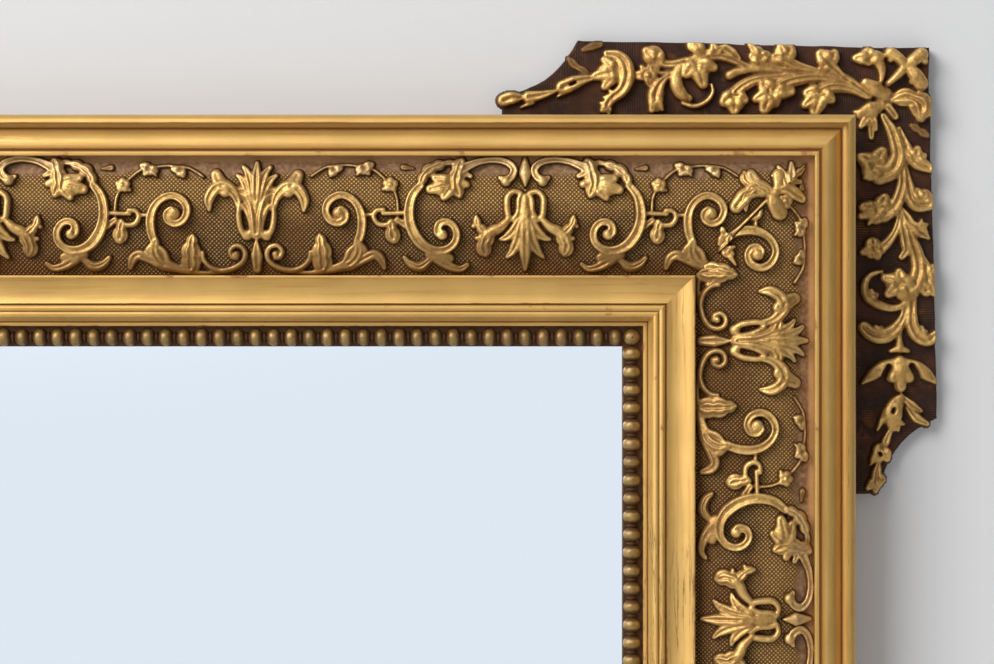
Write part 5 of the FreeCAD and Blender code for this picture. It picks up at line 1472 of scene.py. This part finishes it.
class MIRROR_OT_ears(bpy.types.Operator):
    """Combed ear boards with their carved vines"""
    bl_idname = "gilt_mirror.ears"
    bl_label = "Ears"

    def execute(self, context):
        scene = context.scene
        ground = combed_ground(scene.gilt_colours)
        leaf = carved_gilt(scene.gilt_colours, "vine_leaf", low=0.26, high=0.80)
        step = scene.carving_sizes.ear_step / MM / SQUARE
        vine = drawn((vine_across, vine_corner, vine_down), VINE_LOW, VINE_HIGH, step, VINE_FULLNESS,
                     VINE_LIFT)
        for number, corner in enumerate(CORNERS):
            ear_panel(corner, ground, EAR_SEED + 10 * number)
            ear_carving(corner, vine, leaf)
        return {"FINISHED"}


class MIRROR_OT_glass(bpy.types.Operator):
    """Silvered glass and the coat behind it"""
    bl_idname = "gilt_mirror.glass"
    bl_label = "Glass"

    def execute(self, context):
        clad("mirror_glass", mirror_glass())
        clad("silvering", silver_back())
        return {"FINISHED"}


class MIRROR_OT_back(bpy.types.Operator):
    """Chassis, planks, keys, blocks and nails of the back"""
    bl_idname = "gilt_mirror.back"
    bl_label = "Back"

    def execute(self, context):
        across = bare_wood("pine_across", PINE)
        upright = bare_wood("pine_upright", PINE, upright=True)
        planks = bare_wood("plank_pine", DUSTY_PINE)
        for number, side in enumerate(SIDES):
            clad("chassis_" + side, upright if number % 2 else across)
        for part in ("lower", "middle", "upper"):
            clad("back_plank_" + part, planks)
        clad("glass_blocks", across)
        clad("mitre_keys", bare_wood("key_oak", OAK))
        clad("back_nails", wrought_iron())
        return {"FINISHED"}


class MIRROR_OT_hanging_gear(bpy.types.Operator):
    """Hanger plates, screws and swinging rings"""
    bl_idname = "gilt_mirror.hanging_gear"
    bl_label = "Hanging gear"

    def execute(self, context):
        iron = wrought_iron()
        for side in ("right", "left"):
            clad("hanger_plate_" + side, iron)
            hanging_ring(side, iron)
        clad("hanger_screws", iron)
        return {"FINISHED"}


# Stage
VIEW_CENTRE = Vector((0.2845, -0.044, 0.4733))
CAMERA_PLACE = Vector((0.2845, -1.345, 0.4733))
SENSOR_WIDTH = 36.0
KEY_PLACE = Vector((-2.47, -3.03, 2.59))
KEY_WIDTH = 2.7
STUDIO_WIDE = 6.0
WALL_GAP = 0.001
PALE = (0.68, 0.68, 0.685)


def studio_paint(name, shade):
    """Matt, slightly uneven paint that is open from behind, so that the back of the mirror can be seen."""
    finish = Finish(name)
    cloud = finish.noise(1.2, 3.0)
    finish.give(Base_Color=finish.mix(cloud, darker(shade, 0.985), shade), Roughness=0.86 + cloud * 0.08)
    open_to = finish.wire("ShaderNodeNewGeometry", "Backfacing").or_more(finish.ray("Is Shadow Ray"))
    painted = Wire(finish, finish.shader.outputs[0])
    clear = finish.wire("ShaderNodeBsdfTransparent")
    both = finish.wire("ShaderNodeMixShader", i0=open_to, i1=painted, i2=clear)
    finish.join(both, finish.tree.nodes["Material Output"].inputs["Surface"])
    return finish.material


def flat_plane(name, corners, finish):
    mesh = bpy.data.meshes.new(name)
    mesh.from_pydata(corners, [], [(0, 1, 2, 3)])
    mesh.materials.append(finish)
    plane = bpy.data.objects.new(name, mesh)
    bpy.context.scene.collection.objects.link(plane)


def studio_world(fill):
    """Even fill for the surfaces; a pale studio, brighter at the front and upper left, for reflections."""
    world = bpy.data.worlds.new("studio")
    world.use_nodes = True
    bpy.context.scene.world = world
    world.node_tree.nodes.clear()
    graph = Graph(world.node_tree)

    def facing(way, low, high, floor, top):
        """How bright the studio is towards a direction."""
        towards = graph.wire("ShaderNodeVectorMath", "Value", {"operation": "DOT_PRODUCT"},
                             i0=graph.wire("ShaderNodeTexCoord", "Generated"), i1=Vector(way).normalized())
        return towards.ramp(low, high, top, floor)

    level = facing((-0.55, -0.5, 0.65), -0.6, 0.9, 0.35, 1.5) * fill + facing((0, 1, 0), 0.1, 0.8, 0.0, 0.9)
    glow = facing((0, -1, 0), 0.2, 0.93, 0.16, 0.86) + facing((-0.96, -0.14, 0.24), 0.60, 0.96, 0.0, 2.4)
    glow = glow + facing((-0.2, -0.75, 0.63), 0.74, 0.98, 0.0, 0.9)
    for way, start, end in (((0, 0, 1), -0.7, -0.15), ((-1, 0, 0), -0.40, -0.04)):
        glow = glow * facing(way, start, end, 0.2, 1.0)
    even = graph.wire("ShaderNodeCombineColor", i0=level, i1=level, i2=level)
    panel = graph.wire("ShaderNodeCombineColor", i0=glow * 0.99, i1=glow * 1.0, i2=glow * 1.04)
    seen = graph.ray("Is Camera Ray").or_more(graph.ray("Is Transmission Ray"))
    shown = graph.mix(seen, graph.mix(graph.ray("Is Glossy Ray"), even, panel), PALE)
    graph.wire("ShaderNodeOutputWorld", Surface=graph.wire("ShaderNodeBackground", Color=shown))


def add_looking(name, data, place):
    """An object that looks from a place at the middle of the view."""
    looking = bpy.data.objects.new(name, data)
    looking.location = place
    looking.rotation_euler = (VIEW_CENTRE - place).to_track_quat("-Z", "Y").to_euler()
    bpy.context.scene.collection.objects.link(looking)
    return looking


class MIRROR_OT_stage(bpy.types.Operator):
    """Wall, floor, light and camera"""
    bl_idname = "gilt_mirror.stage"
    bl_label = "Stage"

    def execute(self, context):
        scene = context.scene
        settings = scene.mirror_stage
        low = CAD_BOX[0][2]
        behind = CAD_BOX[1][1] + WALL_GAP
        wide = STUDIO_WIDE
        wall = [(-wide, behind, low), (wide, behind, low), (wide, behind, low + wide),
                (-wide, behind, low + wide)]
        floor = [(-wide, -wide, low), (wide, -wide, low), (wide, wide, low), (-wide, wide, low)]
        flat_plane("wall", wall, studio_paint("wall_paint", settings.wall_colour))
        flat_plane("floor", floor, studio_paint("floor_paint", settings.wall_colour))
        studio_world(settings.fill)
        lamp = bpy.data.lights.new("key", "AREA")
        lamp.shape = "SQUARE"
        lamp.size = KEY_WIDTH
        lamp.energy = settings.key_power
        add_looking("key", lamp, KEY_PLACE)
        scene.camera = add_looking("camera", bpy.data.cameras.new("camera"), CAMERA_PLACE)
        scene.camera.data.sensor_width = SENSOR_WIDTH
        scene.camera.data.lens = settings.focal_length
        scene.view_settings.view_transform = "Standard"
        return {"FINISHED"}


OPERATORS = (MIRROR_OT_mouldings, MIRROR_OT_beads, MIRROR_OT_frieze_casts, MIRROR_OT_ears, MIRROR_OT_glass,
             MIRROR_OT_back, MIRROR_OT_hanging_gear, MIRROR_OT_stage)


class MIRROR_PT_dresser(bpy.types.Panel):
    """Sizes, colours and steps of the mirror's dressing"""
    bl_idname = "MIRROR_PT_dresser"
    bl_label = "Gilt mirror"
    bl_space_type = "VIEW_3D"
    bl_region_type = "UI"
    bl_category = "Mirror"

    def draw(self, context):
        for operator in OPERATORS:
            self.layout.operator(operator.bl_idname)
        for group in (context.scene.carving_sizes, context.scene.gilt_colours, context.scene.mirror_stage):
            box = self.layout.box()
            for key in group.__annotations__:
                box.prop(group, key)


CLASSES = (CarvingSizes, GiltColours, StageSettings, *OPERATORS, MIRROR_PT_dresser)


def register():
    for item in CLASSES:
        bpy.utils.register_class(item)
    bpy.types.Scene.carving_sizes = PointerProperty(type=CarvingSizes)
    bpy.types.Scene.gilt_colours = PointerProperty(type=GiltColours)
    bpy.types.Scene.mirror_stage = PointerProperty(type=StageSettings)


def unregister():
    del bpy.types.Scene.mirror_stage
    del bpy.types.Scene.gilt_colours
    del bpy.types.Scene.carving_sizes
    for item in reversed(CLASSES):
        bpy.utils.unregister_class(item)


def main():
    register()
    for operator in OPERATORS:
        group, name = operator.bl_idname.split(".")
        getattr(getattr(bpy.ops, group), name)()


if __name__ == "__main__":
    main()
